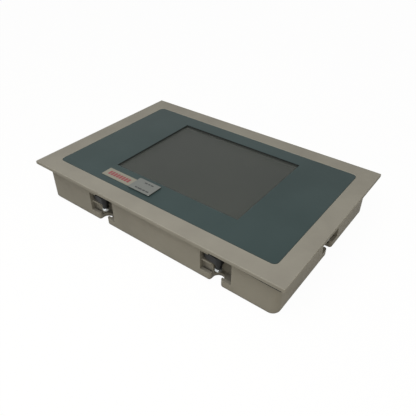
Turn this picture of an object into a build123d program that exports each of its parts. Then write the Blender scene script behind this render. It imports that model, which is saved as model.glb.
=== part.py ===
from build123d import *
import os

os.makedirs("parts", exist_ok=True)

# Built-in panel computer: front frame with touch display, deep rear housing, six swing clamps.
# Frame of the model: the back rests on z = 0, the screen faces +Z, X runs along the long side
# and +Y points to the top of the picture on the screen. All sizes are millimetres.

# Display module: its outline drives the window, the film, the frame and the housing
display_length = 153.0
display_width = 118.0
display_depth = 9.0
display_border = 8.3
bezel_sheet = 0.5
bezel_corner = 1.0
cell_thickness = 1.8
cell_inset = 3.0
tray_wall = 1.6
tray_gap = 0.15
tray_columns = 3
tray_rows = 2
tray_rib = 6.4
tray_corner = 2.0
ear_length = 9.0
ear_reach = 7.0
ear_sheet = 1.0
ear_pitch = 59.0
gasket_foam = 0.8
gasket_band = 5.0

# Front frame
frame_border = 16.0
frame_thickness = 3.0
frame_corner = 0.8
frame_edge_round = 0.7
body_depth = 40.0
flange_overhang = 7.0
film_side = 49.5
film_end = 20.7
film_corner = 4.5
film_thickness = 0.3
film_recess = 0.4
film_gap = 0.15
recess_bevel = 0.35

# Window and touch screen
window_side = 9.5
window_end = 8.2
window_shift = 5.0
seal_lip = 1.0
seal_sheet = 0.3
seal_gap = 0.1
touch_border = 8.0
touch_thickness = 1.4
touch_corner = 1.0
touch_gap = 0.3

# Seal between flange and cabinet wall
flange_seal_band = 5.0
flange_seal_thickness = 1.0
flange_seal_inset = 1.0

# Small plates on the film
strip_length = 33.0
strip_width = 11.5
strip_thickness = 0.3
strip_outset = 0.3
strip_margin = 6.8
strip_corner = 0.6
tag_length = 24.3
tag_width = 15.9
tag_thickness = 0.8
tag_corner = 1.0
tag_spacing = 1.2
tag_drop = 1.2
pad_thickness = 0.7
pad_inset = 0.6
tag_bevel = 0.2

# Rear housing
wall = 2.5
back_wall = 3.0
housing_corner = 7.0
back_round = 2.5
post_radius = 5.3
post_inset = 7.5
screw_radius = 1.45
thread_gap = 0.05
screw_depth = 1.7
flat_head_radius = 2.9
flat_head_height = 1.6
lip_pick = 0.05

# Clamp pockets and key notches
pocket_length = 29.4
pocket_depth = 12.0
pocket_floor = 4.5
sill_height = 8.0
sill_thickness = 3.0
notch_width = 9.4
notch_lip = 2.4
pivot_inset = 4.6
rest_length = 9.6
rest_height = 17.6
rest_thickness = 1.6
rest_setback = 2.2
rest_block_setback = 4.6
lintel_length = 7.8
lintel_height = 29.6
lintel_thickness = 1.2
near_clamp_left = -54.3
near_clamp_right = 71.3
side_clamp = 7.0

# Clamp
stud_radius = 1.5
stud_gap = 0.05
stud_seat = 1.5
stud_end = 11.6
nut_flats = 5.5
nut_height = 2.4
nut_bevel = 0.35
nut_bottom = 12.0
bush_neck_radius = 2.0
bush_neck_height = 1.4
bush_radius = 2.75
lever_bottom = 20.0
hub_radius = 4.0
hub_height = 6.6
lever_reach = 13.5
lever_tip_radius = 2.2
lever_handle_height = 4.8
nose_reach = 7.6
lever_edge_round = 0.4

# Bracket behind the display
bracket_side = 16.5
bracket_end = 1.5
bracket_sheet = 1.2
bracket_lip = 4.0
bracket_corner = 3.0
bracket_window_length = 70.0
bracket_window_width = 40.0
bracket_window_pitch = 77.0
standoff_flats = 5.5
standoff_edge = 6.0
standoff_inset = 5.0
standoff_spigot = 1.4
pan_head_radius = 2.7
pan_head_height = 2.0
pan_head_round = 0.6
screw_end_gap = 0.5

# Main board
board_side = 5.5
board_width = 100.0
board_center_y = -5.0
board_thickness = 1.6
board_gap = 4.0
board_edge = 5.0
tongue_length = 80.0
tongue_margin = 0.5
spacer_radius = 3.0

# Rear cover
cover_length = 168.0
cover_bay_gap = 7.0
cover_far_margin = 17.5
cover_thickness = 1.5
cover_corner = 3.0
cover_ledge = 8.0
cover_gap = 0.2
boss_radius = 3.4
boss_height = 3.0
vent_length = 22.0
vent_width = 2.4
vent_pitch = 5.5
vent_count = 12
vent_row_pitch = 30.0

# Heat sink and processor
sink_length = 70.0
sink_width = 62.0
sink_x = -32.0
sink_y = 12.0
sink_base = 3.6
fin_thickness = 1.6
fin_count = 10
fin_clearance = 1.4
chip_size = 31.0
chip_height = 2.6

# Connector bay
bay_length = 83.0
bay_width = 30.0
bay_x = 8.5
bay_margin = 4.5
bay_corner = 2.0
bay_depth = 8.0
plate_sheet = 1.0
plate_lap = 1.8
bay_post_lift = 1.5
bay_post_spread = 27.6
cutout_gap = 0.25
bay_screw_radius = 1.2
bay_post_radius = 3.4

# Connectors, by their middles: two from the bay's end, the rest from its middle
row_offset = 7.4
serial_inset = 17.5
power_inset = 13.0
earth_shift = -10.0
lan_shift = 4.0
lan_pitch = 19.0
usb_shift = 6.0
usb_pitch = 18.5
lan_length = 16.0
lan_width = 13.4
lan_face = 7.5
lan_mouth_length = 11.8
lan_mouth_width = 8.2
lan_mouth_depth = 11.0
lan_latch_length = 6.2
lan_latch_width = 1.6
contact_length = 9.4
contact_width = 1.0
contact_depth = 5.5
usb_length = 13.2
usb_width = 5.8
usb_face = 6.8
usb_shell = 0.4
usb_mouth_depth = 9.0
usb_tongue_length = 11.0
usb_tongue_width = 1.9
power_pins = 4
power_pitch = 3.81
power_width = 9.2
power_face = 6.2
power_wall = 1.1
power_margin = 0.8
power_mouth_depth = 8.4
power_pin_side = 1.0
serial_flange_length = 30.8
serial_flange_width = 12.5
serial_flange = 1.0
serial_flange_corner = 1.0
serial_body_length = 19.2
serial_body_width = 10.4
serial_shell_length = 16.9
serial_shell_width = 8.3
serial_shell_taper = 10.0
serial_shell_round = 2.0
serial_shell_reach = 5.2
serial_hole_radius = 0.55
serial_hole_depth = 3.0
serial_pin_pitch = 2.77
serial_row_pitch = 2.84
serial_lock_pitch = 25.0
lock_flats = 4.8
lock_height = 4.6
lock_bore_radius = 1.4
lock_shank_radius = 1.4
lock_clear_radius = 1.6
earth_radius = 2.0
earth_end = 1.0
earth_washer_radius = 4.4
earth_washer_height = 0.8
earth_nut_flats = 7.0
earth_nut_height = 3.2
earth_head_radius = 3.6
earth_head_height = 1.4

# Pieces on the main board
memory_x = 43.5
memory_y = 33.0
memory_length = 67.6
memory_width = 30.0
memory_thickness = 1.0
memory_socket_length = 73.0
memory_socket_width = 7.0
memory_socket_height = 5.2
memory_slot_depth = 4.0
memory_level = 2.8
memory_chips = 4
memory_chip_pitch = 16.9
memory_chip_length = 11.3
memory_chip_width = 10.0
memory_chip_height = 1.0
card_inset = 30.0
card_y = -24.0
card_length = 42.8
card_width = 36.4
card_thickness = 3.3
card_gap = 0.3
card_rail = 2.6
card_header = 7.0
card_rail_reach = 25.5
card_level = 1.6
coin_radius = 10.0
coin_height = 3.2
coin_inset = 18.0
coin_y = -38.0
holder_wall = 1.6
holder_floor = 0.8
holder_gap = 0.25

# Backlight inverter
inverter_length = 96.0
inverter_width = 11.0
inverter_inset = 9.0
inverter_board = 1.2
inverter_gap = 3.0
coil_length = 22.0
coil_width = 8.0
coil_height = 6.0
coil_corner = 1.0

# Soldered pieces of the main board
chip_places = [(-6.0, -30.0), (10.0, -30.0)]
chip_side = 12.0
chip_thickness = 1.6
capacitor_count = 3
capacitor_inset = 38.0
capacitor_pitch = 8.0
capacitor_y = -40.0
capacitor_radius = 3.2
capacitor_height = 8.0
choke_inset = 8.0
choke_pitch = 16.0
choke_side = 10.0
choke_height = 5.0
choke_corner = 2.0
header_width = 4.0
header_height = 2.2
header_margin = 1.0

# Flat cables
tail_width = 14.0
tail_x = 30.0
tail_thickness = 0.25
tail_bend = 1.5
ribbon_width = 24.0
ribbon_y = 5.0
ribbon_thickness = 0.6
ribbon_bend = 1.4

# Levels and outlines that follow from the sizes above
window_length = display_length - 2 * window_side
window_width = display_width - 2 * window_end
film_length = window_length + 2 * film_side
film_width = window_width + 2 * film_end
frame_length = film_length + 2 * frame_border
frame_width = film_width + 2 * frame_border
front_face = body_depth
flange_rear = front_face - frame_thickness
film_bottom = front_face - film_recess
touch_rear = flange_rear
touch_front = touch_rear + touch_thickness
web_rear = touch_front + seal_sheet
housing_length = frame_length - 2 * flange_overhang
housing_width = frame_width - 2 * flange_overhang
window_center = (0, window_shift)
touch_length = window_length + 2 * touch_border
touch_width = window_width + 2 * touch_border
opening_length = window_length + 2 * seal_lip + 2 * seal_gap
opening_width = window_width + 2 * seal_lip + 2 * seal_gap
display_front = touch_rear - gasket_foam
display_rear = display_front - display_depth
bracket_length = display_length + 2 * bracket_side
bracket_width = display_width + 2 * bracket_end
bracket_front = display_rear
bracket_rear = bracket_front - bracket_sheet
board_length = display_length + 2 * board_side
board_front = bracket_rear - board_gap
board_rear = board_front - board_thickness
bush_bottom = nut_bottom + nut_height
nut_corner = nut_flats / 3**0.5
pocket_back = pocket_depth - pivot_inset
post_x = housing_length / 2 - post_inset
post_y = housing_width / 2 - post_inset
bay_y = -housing_width / 2 + bay_margin + bay_width / 2
row_upper = bay_y + row_offset
row_lower = bay_y - row_offset
cover_bottom = bay_y + bay_width / 2 + cover_bay_gap
cover_top = housing_width / 2 - cover_far_margin
cover_width = cover_top - cover_bottom
cover_center_y = (cover_top + cover_bottom) / 2
cover_hole_x = cover_length / 2 - cover_ledge / 2
cover_hole_y = cover_width / 2 - cover_ledge / 2
tail_y = window_shift - bracket_width / 2 - tail_bend
ribbon_x = display_length / 2 + 2 * ribbon_bend
serial_x = bay_x - bay_length / 2 + serial_inset
power_x = bay_x - bay_length / 2 + power_inset
earth_x = bay_x + earth_shift
lan_x = bay_x + lan_shift
usb_x = bay_x + usb_shift
lan_places = [(lan_x, row_upper), (lan_x + lan_pitch, row_upper)]
usb_places = [(usb_x, row_lower), (usb_x + usb_pitch, row_lower)]
lock_places = [(serial_x - serial_lock_pitch / 2, row_upper), (serial_x + serial_lock_pitch / 2, row_upper)]
power_length = power_pins * power_pitch + 2 * power_wall + 2 * power_margin
coin_x = -board_length / 2 + coin_inset
choke_x = -board_length / 2 + choke_inset
card_x = board_length / 2 - card_inset
capacitor_x = -board_length / 2 + capacitor_inset
capacitor_places = [(capacitor_x + step * capacitor_pitch, capacitor_y) for step in range(capacitor_count)]
inverter_y = window_shift + bracket_width / 2 - inverter_inset
standoff_x = bracket_length / 2 - standoff_edge
standoff_pitch = display_width / 2 - standoff_inset
standoff_places = [
    (side * standoff_x, window_shift + row * standoff_pitch) for side in (-1, 1) for row in (-1, 0, 1)
]
bay_post_x = bay_length / 2 + plate_lap
bay_post_y = bay_y + bay_width / 2 + plate_lap
bay_posts = [
    (bay_x - bay_post_x, bay_y + bay_post_lift),
    (bay_x + bay_post_x, bay_y + bay_post_lift),
    (bay_x - bay_post_spread, bay_post_y),
    (bay_x + bay_post_spread, bay_post_y),
]
ear_places = [
    (side * (display_length / 2 + ear_reach / 2), window_shift + row * ear_pitch / 2)
    for side in (-1, 1)
    for row in (-1, 1)
]
spacer_places = [
    (side * (board_length / 2 - board_edge), board_center_y + row * (board_width / 2 - board_edge))
    for side in (-1, 1)
    for row in (-1, 1)
]

# The back seen from behind, with local X along X and local Y along -Y
from_behind = Plane((0, 0, 0), x_dir=(1, 0, 0), z_dir=(0, 0, -1))

# Each clamp has its own plane: the origin on the pivot, local Y into the housing,
# and the folded lever along local -X.
near_y = -housing_width / 2 + pivot_inset
side_x = housing_length / 2 - pivot_inset
clamp_planes = [
    Plane((near_clamp_left, near_y, 0), x_dir=(1, 0, 0), z_dir=(0, 0, 1)),
    Plane((near_clamp_right, near_y, 0), x_dir=(1, 0, 0), z_dir=(0, 0, 1)),
    Plane((side_x, side_clamp, 0), x_dir=(0, 1, 0), z_dir=(0, 0, 1)),
    Plane((near_clamp_right, -near_y, 0), x_dir=(-1, 0, 0), z_dir=(0, 0, 1)),
    Plane((near_clamp_left, -near_y, 0), x_dir=(-1, 0, 0), z_dir=(0, 0, 1)),
    Plane((-side_x, side_clamp, 0), x_dir=(0, -1, 0), z_dir=(0, 0, 1)),
]

# Front frame: a plate with a shallow seat for the film, the screen opening and,
# from behind, the pocket that holds the touch glass
with BuildPart() as front_frame:
    with BuildSketch(Plane.XY.offset(flange_rear)):
        RectangleRounded(frame_length, frame_width, frame_corner)
    extrude(amount=frame_thickness)
    top_rim = front_frame.faces().sort_by(Axis.Z)[-1].edges()
    fillet(top_rim, frame_edge_round)
    with BuildSketch(Plane.XY.offset(film_bottom)):
        RectangleRounded(film_length, film_width, film_corner)
    extrude(amount=film_recess, mode=Mode.SUBTRACT)
    lip = front_frame.faces().filter_by(Plane.XY).sort_by(Axis.Z)[-1].inner_wires()[0].edges()
    chamfer(lip, recess_bevel)
    with BuildSketch(Plane.XY.offset(flange_rear)):
        with Locations(window_center):
            Rectangle(touch_length + 2 * touch_gap, touch_width + 2 * touch_gap)
    extrude(amount=web_rear - flange_rear, mode=Mode.SUBTRACT)
    with BuildSketch(Plane.XY.offset(web_rear)):
        with Locations(window_center):
            Rectangle(opening_length, opening_width)
    extrude(amount=film_bottom - web_rear, mode=Mode.SUBTRACT)
    with BuildSketch(Plane.XY.offset(flange_rear)):
        for plane in clamp_planes:
            with Locations(plane.origin):
                Circle(stud_radius + stud_gap)
        with Locations(*standoff_places):
            Circle(screw_radius + thread_gap)
    extrude(amount=stud_seat, mode=Mode.SUBTRACT)
    with BuildSketch(Plane.XY.offset(flange_rear)):
        with GridLocations(2 * post_x, 2 * post_y, 2, 2):
            Circle(screw_radius + thread_gap)
    extrude(amount=screw_depth, mode=Mode.SUBTRACT)
front_frame.part.label = "front_frame"
export_step(front_frame.part, "parts/front_frame.step")

# Printed film around the screen
with BuildPart() as front_film:
    with BuildSketch(Plane.XY.offset(film_bottom)):
        RectangleRounded(film_length - 2 * film_gap, film_width - 2 * film_gap, film_corner - film_gap)
        with Locations(window_center):
            Rectangle(window_length, window_width, mode=Mode.SUBTRACT)
    extrude(amount=film_thickness)
front_film.part.label = "front_film"
export_step(front_film.part, "parts/front_film.step")

# Black seal that lines the window and lies on the touch glass
with BuildPart() as window_seal:
    with BuildSketch(Plane.XY.offset(touch_front)):
        with Locations(window_center):
            Rectangle(touch_length, touch_width)
    extrude(amount=seal_sheet)
    with BuildSketch(Plane.XY.offset(touch_front)):
        with Locations(window_center):
            Rectangle(window_length + 2 * seal_lip, window_width + 2 * seal_lip)
    extrude(amount=film_bottom - touch_front)
    with BuildSketch(Plane.XY.offset(touch_front)):
        with Locations(window_center):
            Rectangle(window_length, window_width)
    extrude(amount=film_bottom - touch_front, mode=Mode.SUBTRACT)
window_seal.part.label = "window_seal"
export_step(window_seal.part, "parts/window_seal.step")

# Touch glass
with BuildPart() as touch_screen:
    with BuildSketch(Plane.XY.offset(touch_rear)):
        with Locations(window_center):
            RectangleRounded(touch_length, touch_width, touch_corner)
    extrude(amount=touch_thickness)
touch_screen.part.label = "touch_screen"
export_step(touch_screen.part, "parts/touch_screen.step")

# Foam frame between touch glass and display
with BuildPart() as display_gasket:
    with BuildSketch(Plane.XY.offset(display_front)):
        with Locations(window_center):
            Rectangle(
                display_length - 2 * display_border + 2 * gasket_band,
                display_width - 2 * display_border + 2 * gasket_band,
            )
            Rectangle(
                display_length - 2 * display_border,
                display_width - 2 * display_border,
                mode=Mode.SUBTRACT,
            )
    extrude(amount=gasket_foam)
display_gasket.part.label = "display_gasket"
export_step(display_gasket.part, "parts/display_gasket.step")

# Pressed steel bezel of the display, with an ear at each side for its screws
with BuildPart() as display_bezel:
    with BuildSketch(Plane.XY.offset(display_rear)):
        with Locations(window_center):
            RectangleRounded(display_length, display_width, bezel_corner)
    extrude(amount=display_depth)
    with BuildSketch(Plane.XY.offset(display_rear)):
        with Locations(window_center):
            Rectangle(display_length - 2 * bezel_sheet, display_width - 2 * bezel_sheet)
    extrude(amount=display_depth - bezel_sheet, mode=Mode.SUBTRACT)
    with BuildSketch(Plane.XY.offset(display_rear)):
        with Locations(window_center):
            Rectangle(display_length - 2 * display_border, display_width - 2 * display_border)
    extrude(amount=display_depth, mode=Mode.SUBTRACT)
    with BuildSketch(Plane.XY.offset(display_rear)):
        with Locations(*ear_places):
            Rectangle(ear_reach, ear_length)
    extrude(amount=ear_sheet)
    with BuildSketch(Plane.XY.offset(display_rear)):
        with Locations(window_center):
            Rectangle(display_length - 2 * bezel_sheet, display_width - 2 * bezel_sheet)
        with Locations(*ear_places):
            Circle(screw_radius + thread_gap)
    extrude(amount=ear_sheet, mode=Mode.SUBTRACT)
display_bezel.part.label = "display_bezel"
export_step(display_bezel.part, "parts/display_bezel.step")

# Liquid crystal cell under the bezel
cell_front = display_front - bezel_sheet
with BuildPart() as display_cell:
    with BuildSketch(Plane.XY.offset(cell_front - cell_thickness)):
        with Locations(window_center):
            Rectangle(display_length - 2 * cell_inset, display_width - 2 * cell_inset)
    extrude(amount=cell_thickness)
display_cell.part.label = "display_cell"
export_step(display_cell.part, "parts/display_cell.step")

# Light tray: a moulded tray with its light guide
tray_cell_length = display_length / tray_columns
tray_cell_width = display_width / tray_rows
with BuildPart() as display_backlight:
    with BuildSketch(Plane.XY.offset(display_rear)):
        with Locations(window_center):
            Rectangle(
                display_length - 2 * bezel_sheet - 2 * tray_gap,
                display_width - 2 * bezel_sheet - 2 * tray_gap,
            )
    extrude(amount=cell_front - display_rear)
    with BuildSketch(Plane.XY.offset(cell_front - cell_thickness)):
        with Locations(window_center):
            Rectangle(
                display_length - 2 * cell_inset + 2 * tray_gap,
                display_width - 2 * cell_inset + 2 * tray_gap,
            )
    extrude(amount=cell_thickness, mode=Mode.SUBTRACT)
    with BuildSketch(Plane.XY.offset(display_rear)):
        with Locations(window_center):
            with GridLocations(tray_cell_length, tray_cell_width, tray_columns, tray_rows):
                RectangleRounded(tray_cell_length - tray_rib, tray_cell_width - tray_rib, tray_corner)
    extrude(amount=tray_wall, mode=Mode.SUBTRACT)
display_backlight.part.label = "display_backlight"
export_step(display_backlight.part, "parts/display_backlight.step")

# Seal on the back of the flange
with BuildPart() as flange_seal:
    with BuildSketch(Plane.XY.offset(flange_rear - flange_seal_thickness)):
        RectangleRounded(
            frame_length - 2 * flange_seal_inset, frame_width - 2 * flange_seal_inset, frame_corner
        )
        Rectangle(
            frame_length - 2 * flange_seal_inset - 2 * flange_seal_band,
            frame_width - 2 * flange_seal_inset - 2 * flange_seal_band,
            mode=Mode.SUBTRACT,
        )
    extrude(amount=flange_seal_thickness)
flange_seal.part.label = "flange_seal"
export_step(flange_seal.part, "parts/flange_seal.step")

# Plain strip and small plate on the film, below the screen at the left
film_top = film_bottom + film_thickness
strip_x = -window_length / 2 - strip_outset + strip_length / 2
strip_y = -film_width / 2 + strip_margin + strip_width / 2
with BuildPart() as name_strip:
    with BuildSketch(Plane.XY.offset(film_top)):
        with Locations((strip_x, strip_y)):
            RectangleRounded(strip_length, strip_width, strip_corner)
    extrude(amount=strip_thickness)
name_strip.part.label = "name_strip"
export_step(name_strip.part, "parts/name_strip.step")

tag_x = strip_x + strip_length / 2 + tag_spacing + tag_length / 2
tag_y = strip_y - strip_width / 2 - tag_drop + tag_width / 2
with BuildPart() as tag_pad:
    with BuildSketch(Plane.XY.offset(film_top)):
        with Locations((tag_x, tag_y)):
            Rectangle(tag_length - 2 * pad_inset, tag_width - 2 * pad_inset)
    extrude(amount=pad_thickness)
tag_pad.part.label = "tag_pad"
export_step(tag_pad.part, "parts/tag_pad.step")

with BuildPart() as tag_plate:
    with BuildSketch(Plane.XY.offset(film_top + pad_thickness)):
        with Locations((tag_x, tag_y)):
            RectangleRounded(tag_length, tag_width, tag_corner)
    extrude(amount=tag_thickness)
    chamfer(tag_plate.faces().sort_by(Axis.Z)[-1].edges(), tag_bevel)
tag_plate.part.label = "tag_plate"
export_step(tag_plate.part, "parts/tag_plate.step")

# Rear housing: one deep casting with the clamp pockets, the connector bay and the screw posts
with BuildPart() as rear_housing:
    with BuildSketch():
        RectangleRounded(housing_length, housing_width, housing_corner)
    extrude(amount=flange_rear)
    fillet(rear_housing.faces().sort_by(Axis.Z)[0].edges(), back_round)
    with BuildSketch(Plane.XY.offset(back_wall)):
        RectangleRounded(housing_length - 2 * wall, housing_width - 2 * wall, housing_corner - wall)
    extrude(amount=flange_rear - back_wall, mode=Mode.SUBTRACT)
    # Solid blocks that the pockets are then cut from
    for plane in clamp_planes:
        with BuildSketch(plane.offset(back_wall)):
            with Locations((0, (pocket_back + wall - pivot_inset + wall / 2) / 2)):
                Rectangle(pocket_length + 2 * wall, pocket_back + wall + pivot_inset - wall / 2)
        extrude(amount=flange_rear - back_wall)
    # Walls round the connector bay
    with BuildSketch(Plane.XY.offset(back_wall)):
        with Locations((bay_x, bay_y)):
            RectangleRounded(bay_length + 2 * wall, bay_width + 2 * wall, bay_corner + wall)
        with Locations(*bay_posts):
            Circle(bay_post_radius)
    extrude(amount=bay_depth - back_wall)
    # Corner posts for the long screws and bosses for the cover screws
    with BuildSketch(Plane.XY.offset(back_wall)):
        with GridLocations(2 * post_x, 2 * post_y, 2, 2):
            Circle(post_radius)
    extrude(amount=flange_rear - back_wall)
    with BuildSketch(Plane.XY.offset(back_wall)):
        with Locations((0, cover_center_y)):
            with GridLocations(2 * cover_hole_x, cover_hole_y, 2, 3):
                Circle(boss_radius)
            with GridLocations(1, 2 * cover_hole_y, 1, 2):
                Circle(boss_radius)
    extrude(amount=boss_height)
    # Pockets, each with its sill towards the outside and a key notch below the nut
    for plane in clamp_planes:
        with BuildSketch(plane.offset(sill_height)):
            with Locations((0, (pocket_back - pivot_inset - wall) / 2)):
                Rectangle(pocket_length, pocket_back + pivot_inset + wall)
        extrude(amount=flange_rear - sill_height, mode=Mode.SUBTRACT)
        with BuildSketch(plane.offset(pocket_floor)):
            with Locations((0, (pocket_back - pivot_inset + sill_thickness) / 2)):
                Rectangle(pocket_length, pocket_back + pivot_inset - sill_thickness)
        extrude(amount=sill_height - pocket_floor, mode=Mode.SUBTRACT)
        with BuildSketch(plane):
            Circle(notch_width / 2)
            with Locations((0, -pivot_inset)):
                Rectangle(notch_width, 2 * pivot_inset)
        extrude(amount=sill_height, mode=Mode.SUBTRACT)
        # Step with a lip under the folded lever's tip
        with BuildSketch(plane.offset(pocket_floor)):
            with Locations((-pocket_length / 2, pocket_back)):
                Rectangle(rest_length, pocket_depth - rest_block_setback, align=(Align.MIN, Align.MAX))
        extrude(amount=rest_height - pocket_floor)
        with BuildSketch(plane.offset(rest_height - rest_thickness)):
            with Locations((-pocket_length / 2, pocket_back)):
                Rectangle(rest_length, pocket_depth - rest_setback, align=(Align.MIN, Align.MAX))
        extrude(amount=rest_thickness)
        # Lintel over the folded lever: only a lever that points out is drawn up to the wall
        with BuildSketch(plane.offset(lintel_height)):
            with Locations((-pocket_length / 2, -pivot_inset)):
                Rectangle(lintel_length, lintel_thickness, align=(Align.MIN, Align.MIN))
        extrude(amount=flange_rear - lintel_height)
    # Rounded lips where each key notch meets the outside
    sill_edges = rear_housing.edges().filter_by(Axis.Z).group_by(SortBy.LENGTH)
    lips = [group for group in sill_edges if abs(group[0].length - (sill_height - back_round)) < lip_pick]
    fillet(lips[0], notch_lip)
    # Connector bay, cover seat and the opening under the cover
    with BuildSketch():
        with Locations((bay_x, bay_y)):
            RectangleRounded(bay_length, bay_width, bay_corner)
    extrude(amount=bay_depth, mode=Mode.SUBTRACT)
    with BuildSketch(Plane.XY.offset(bay_depth)):
        with Locations(*bay_posts):
            Circle(bay_screw_radius)
    extrude(amount=-(bay_depth - back_wall), mode=Mode.SUBTRACT)
    with BuildSketch():
        with Locations((0, cover_center_y)):
            RectangleRounded(cover_length + 2 * cover_gap, cover_width + 2 * cover_gap, cover_corner)
    extrude(amount=cover_thickness, mode=Mode.SUBTRACT)
    with BuildSketch():
        with Locations((0, cover_center_y)):
            RectangleRounded(
                cover_length - 2 * cover_ledge, cover_width - 2 * cover_ledge, cover_corner
            )
    extrude(amount=back_wall, mode=Mode.SUBTRACT)
    with BuildSketch():
        with Locations((0, cover_center_y)):
            with GridLocations(2 * cover_hole_x, cover_hole_y, 2, 3):
                Circle(screw_radius + thread_gap)
            with GridLocations(1, 2 * cover_hole_y, 1, 2):
                Circle(screw_radius + thread_gap)
    extrude(amount=back_wall + boss_height, mode=Mode.SUBTRACT)
    # Countersunk holes of the long screws
    with Locations(from_behind):
        with GridLocations(2 * post_x, 2 * post_y, 2, 2):
            CounterSinkHole(screw_radius + thread_gap, flat_head_radius + cover_gap, flange_rear)
rear_housing.part.label = "rear_housing"
export_step(rear_housing.part, "parts/rear_housing.step")

# Clamp studs pressed into the frame
with BuildPart() as clamp_studs:
    for plane in clamp_planes:
        with BuildSketch(plane.offset(stud_end)):
            Circle(stud_radius)
        extrude(amount=flange_rear + stud_seat - stud_end)
clamp_studs.part.label = "clamp_studs"
export_step(clamp_studs.part, "parts/clamp_studs.step")

# Six clamps: a hex nut, a stepped bush and the swinging lever
for number, plane in enumerate(clamp_planes, start=1):
    with BuildPart() as clamp_nut:
        with BuildSketch(plane.offset(nut_bottom)):
            Circle(nut_corner)
        extrude(amount=nut_height)
        chamfer(clamp_nut.edges(), nut_bevel)
        with BuildSketch(plane.offset(nut_bottom)):
            RegularPolygon(nut_flats / 2, 6, major_radius=False)
            Circle(stud_radius + stud_gap, mode=Mode.SUBTRACT)
        extrude(amount=nut_height, mode=Mode.INTERSECT)
    clamp_nut.part.label = f"clamp_nut_{number}"
    export_step(clamp_nut.part, f"parts/clamp_nut_{number}.step")

    with BuildPart() as clamp_bush:
        with BuildSketch(plane.offset(bush_bottom)):
            Circle(bush_neck_radius)
        extrude(amount=bush_neck_height)
        with BuildSketch(plane.offset(bush_bottom + bush_neck_height)):
            Circle(bush_radius)
        extrude(amount=lever_bottom - bush_bottom - bush_neck_height)
        with BuildSketch(plane.offset(bush_bottom)):
            Circle(stud_radius + stud_gap)
        extrude(amount=lever_bottom - bush_bottom, mode=Mode.SUBTRACT)
    clamp_bush.part.label = f"clamp_bush_{number}"
    export_step(clamp_bush.part, f"parts/clamp_bush_{number}.step")

    with BuildPart() as clamp_lever:
        with BuildSketch(plane.offset(lever_bottom)):
            Circle(hub_radius)
            with Locations((-lever_reach + lever_tip_radius, 0)):
                Circle(lever_tip_radius)
            make_hull()
        extrude(amount=lever_handle_height)
        with BuildSketch(plane.offset(lever_bottom + lever_handle_height)):
            Circle(hub_radius)
            with Locations((-lever_reach + lever_tip_radius, 0)):
                Circle(lever_tip_radius)
            make_hull()
            with Locations((hub_radius, 0)):
                Rectangle(
                    hub_radius + nose_reach,
                    4 * hub_radius,
                    align=(Align.MAX, Align.CENTER),
                    mode=Mode.INTERSECT,
                )
        extrude(amount=hub_height - lever_handle_height)
        nose = clamp_lever.faces().sort_by(Axis.Z)[-1]
        chamfer(nose.edges(), lever_edge_round)
        with BuildSketch(plane.offset(lever_bottom)):
            Circle(stud_radius + stud_gap)
        extrude(amount=hub_height, mode=Mode.SUBTRACT)
    clamp_lever.part.label = f"clamp_lever_{number}"
    export_step(clamp_lever.part, f"parts/clamp_lever_{number}.step")

# Long countersunk screws through the housing posts into the frame
with BuildPart() as housing_screws:
    with GridLocations(2 * post_x, 2 * post_y, 2, 2):
        with Locations((0, 0, cover_gap)):
            Cone(
                flat_head_radius,
                screw_radius,
                flat_head_height,
                align=(Align.CENTER, Align.CENTER, Align.MIN),
            )
            Cylinder(
                screw_radius,
                flange_rear + screw_depth - 2 * cover_gap,
                align=(Align.CENTER, Align.CENTER, Align.MIN),
            )
housing_screws.part.label = "housing_screws"
export_step(housing_screws.part, "parts/housing_screws.step")

# Rear cover with its vent slots and countersunk screws
cover_holes_long = GridLocations(2 * cover_hole_x, cover_hole_y, 2, 3)
cover_holes_mid = GridLocations(1, 2 * cover_hole_y, 1, 2)
cover_places = [
    (point.position.X, point.position.Y + cover_center_y)
    for point in [*cover_holes_long, *cover_holes_mid]
]
with BuildPart() as rear_cover:
    with BuildSketch():
        with Locations((0, cover_center_y)):
            RectangleRounded(cover_length, cover_width, cover_corner - cover_gap)
    extrude(amount=cover_thickness)
    with BuildSketch():
        with Locations((sink_x, sink_y)):
            with GridLocations(vent_pitch, vent_row_pitch, vent_count, 2):
                SlotOverall(vent_length, vent_width, rotation=90)
    extrude(amount=cover_thickness, mode=Mode.SUBTRACT)
    with Locations(from_behind):
        with Locations(*[(x, -y) for x, y in cover_places]):
            CounterSinkHole(screw_radius + thread_gap, flat_head_radius, cover_thickness)
rear_cover.part.label = "rear_cover"
export_step(rear_cover.part, "parts/rear_cover.step")

with BuildPart() as cover_screws:
    with Locations(*[(x, y, 0) for x, y in cover_places]):
        Cone(
            flat_head_radius - cover_gap,
            screw_radius,
            cover_thickness - cover_gap,
            align=(Align.CENTER, Align.CENTER, Align.MIN),
        )
        Cylinder(
            screw_radius,
            back_wall + boss_height - cover_gap,
            align=(Align.CENTER, Align.CENTER, Align.MIN),
        )
cover_screws.part.label = "cover_screws"
export_step(cover_screws.part, "parts/cover_screws.step")

# Hex standoffs on the frame, the bracket they carry and its screws
with BuildPart() as frame_standoffs:
    with BuildSketch(Plane.XY.offset(bracket_front)):
        with Locations(*standoff_places):
            RegularPolygon(standoff_flats / 2, 6, major_radius=False)
    extrude(amount=flange_rear - bracket_front)
    with BuildSketch(Plane.XY.offset(flange_rear)):
        with Locations(*standoff_places):
            Circle(screw_radius)
    extrude(amount=standoff_spigot)
    with BuildSketch(Plane.XY.offset(bracket_front)):
        with Locations(*standoff_places):
            Circle(screw_radius + thread_gap)
    extrude(amount=(flange_rear - bracket_front) / 2, mode=Mode.SUBTRACT)
frame_standoffs.part.label = "frame_standoffs"
export_step(frame_standoffs.part, "parts/frame_standoffs.step")

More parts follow.
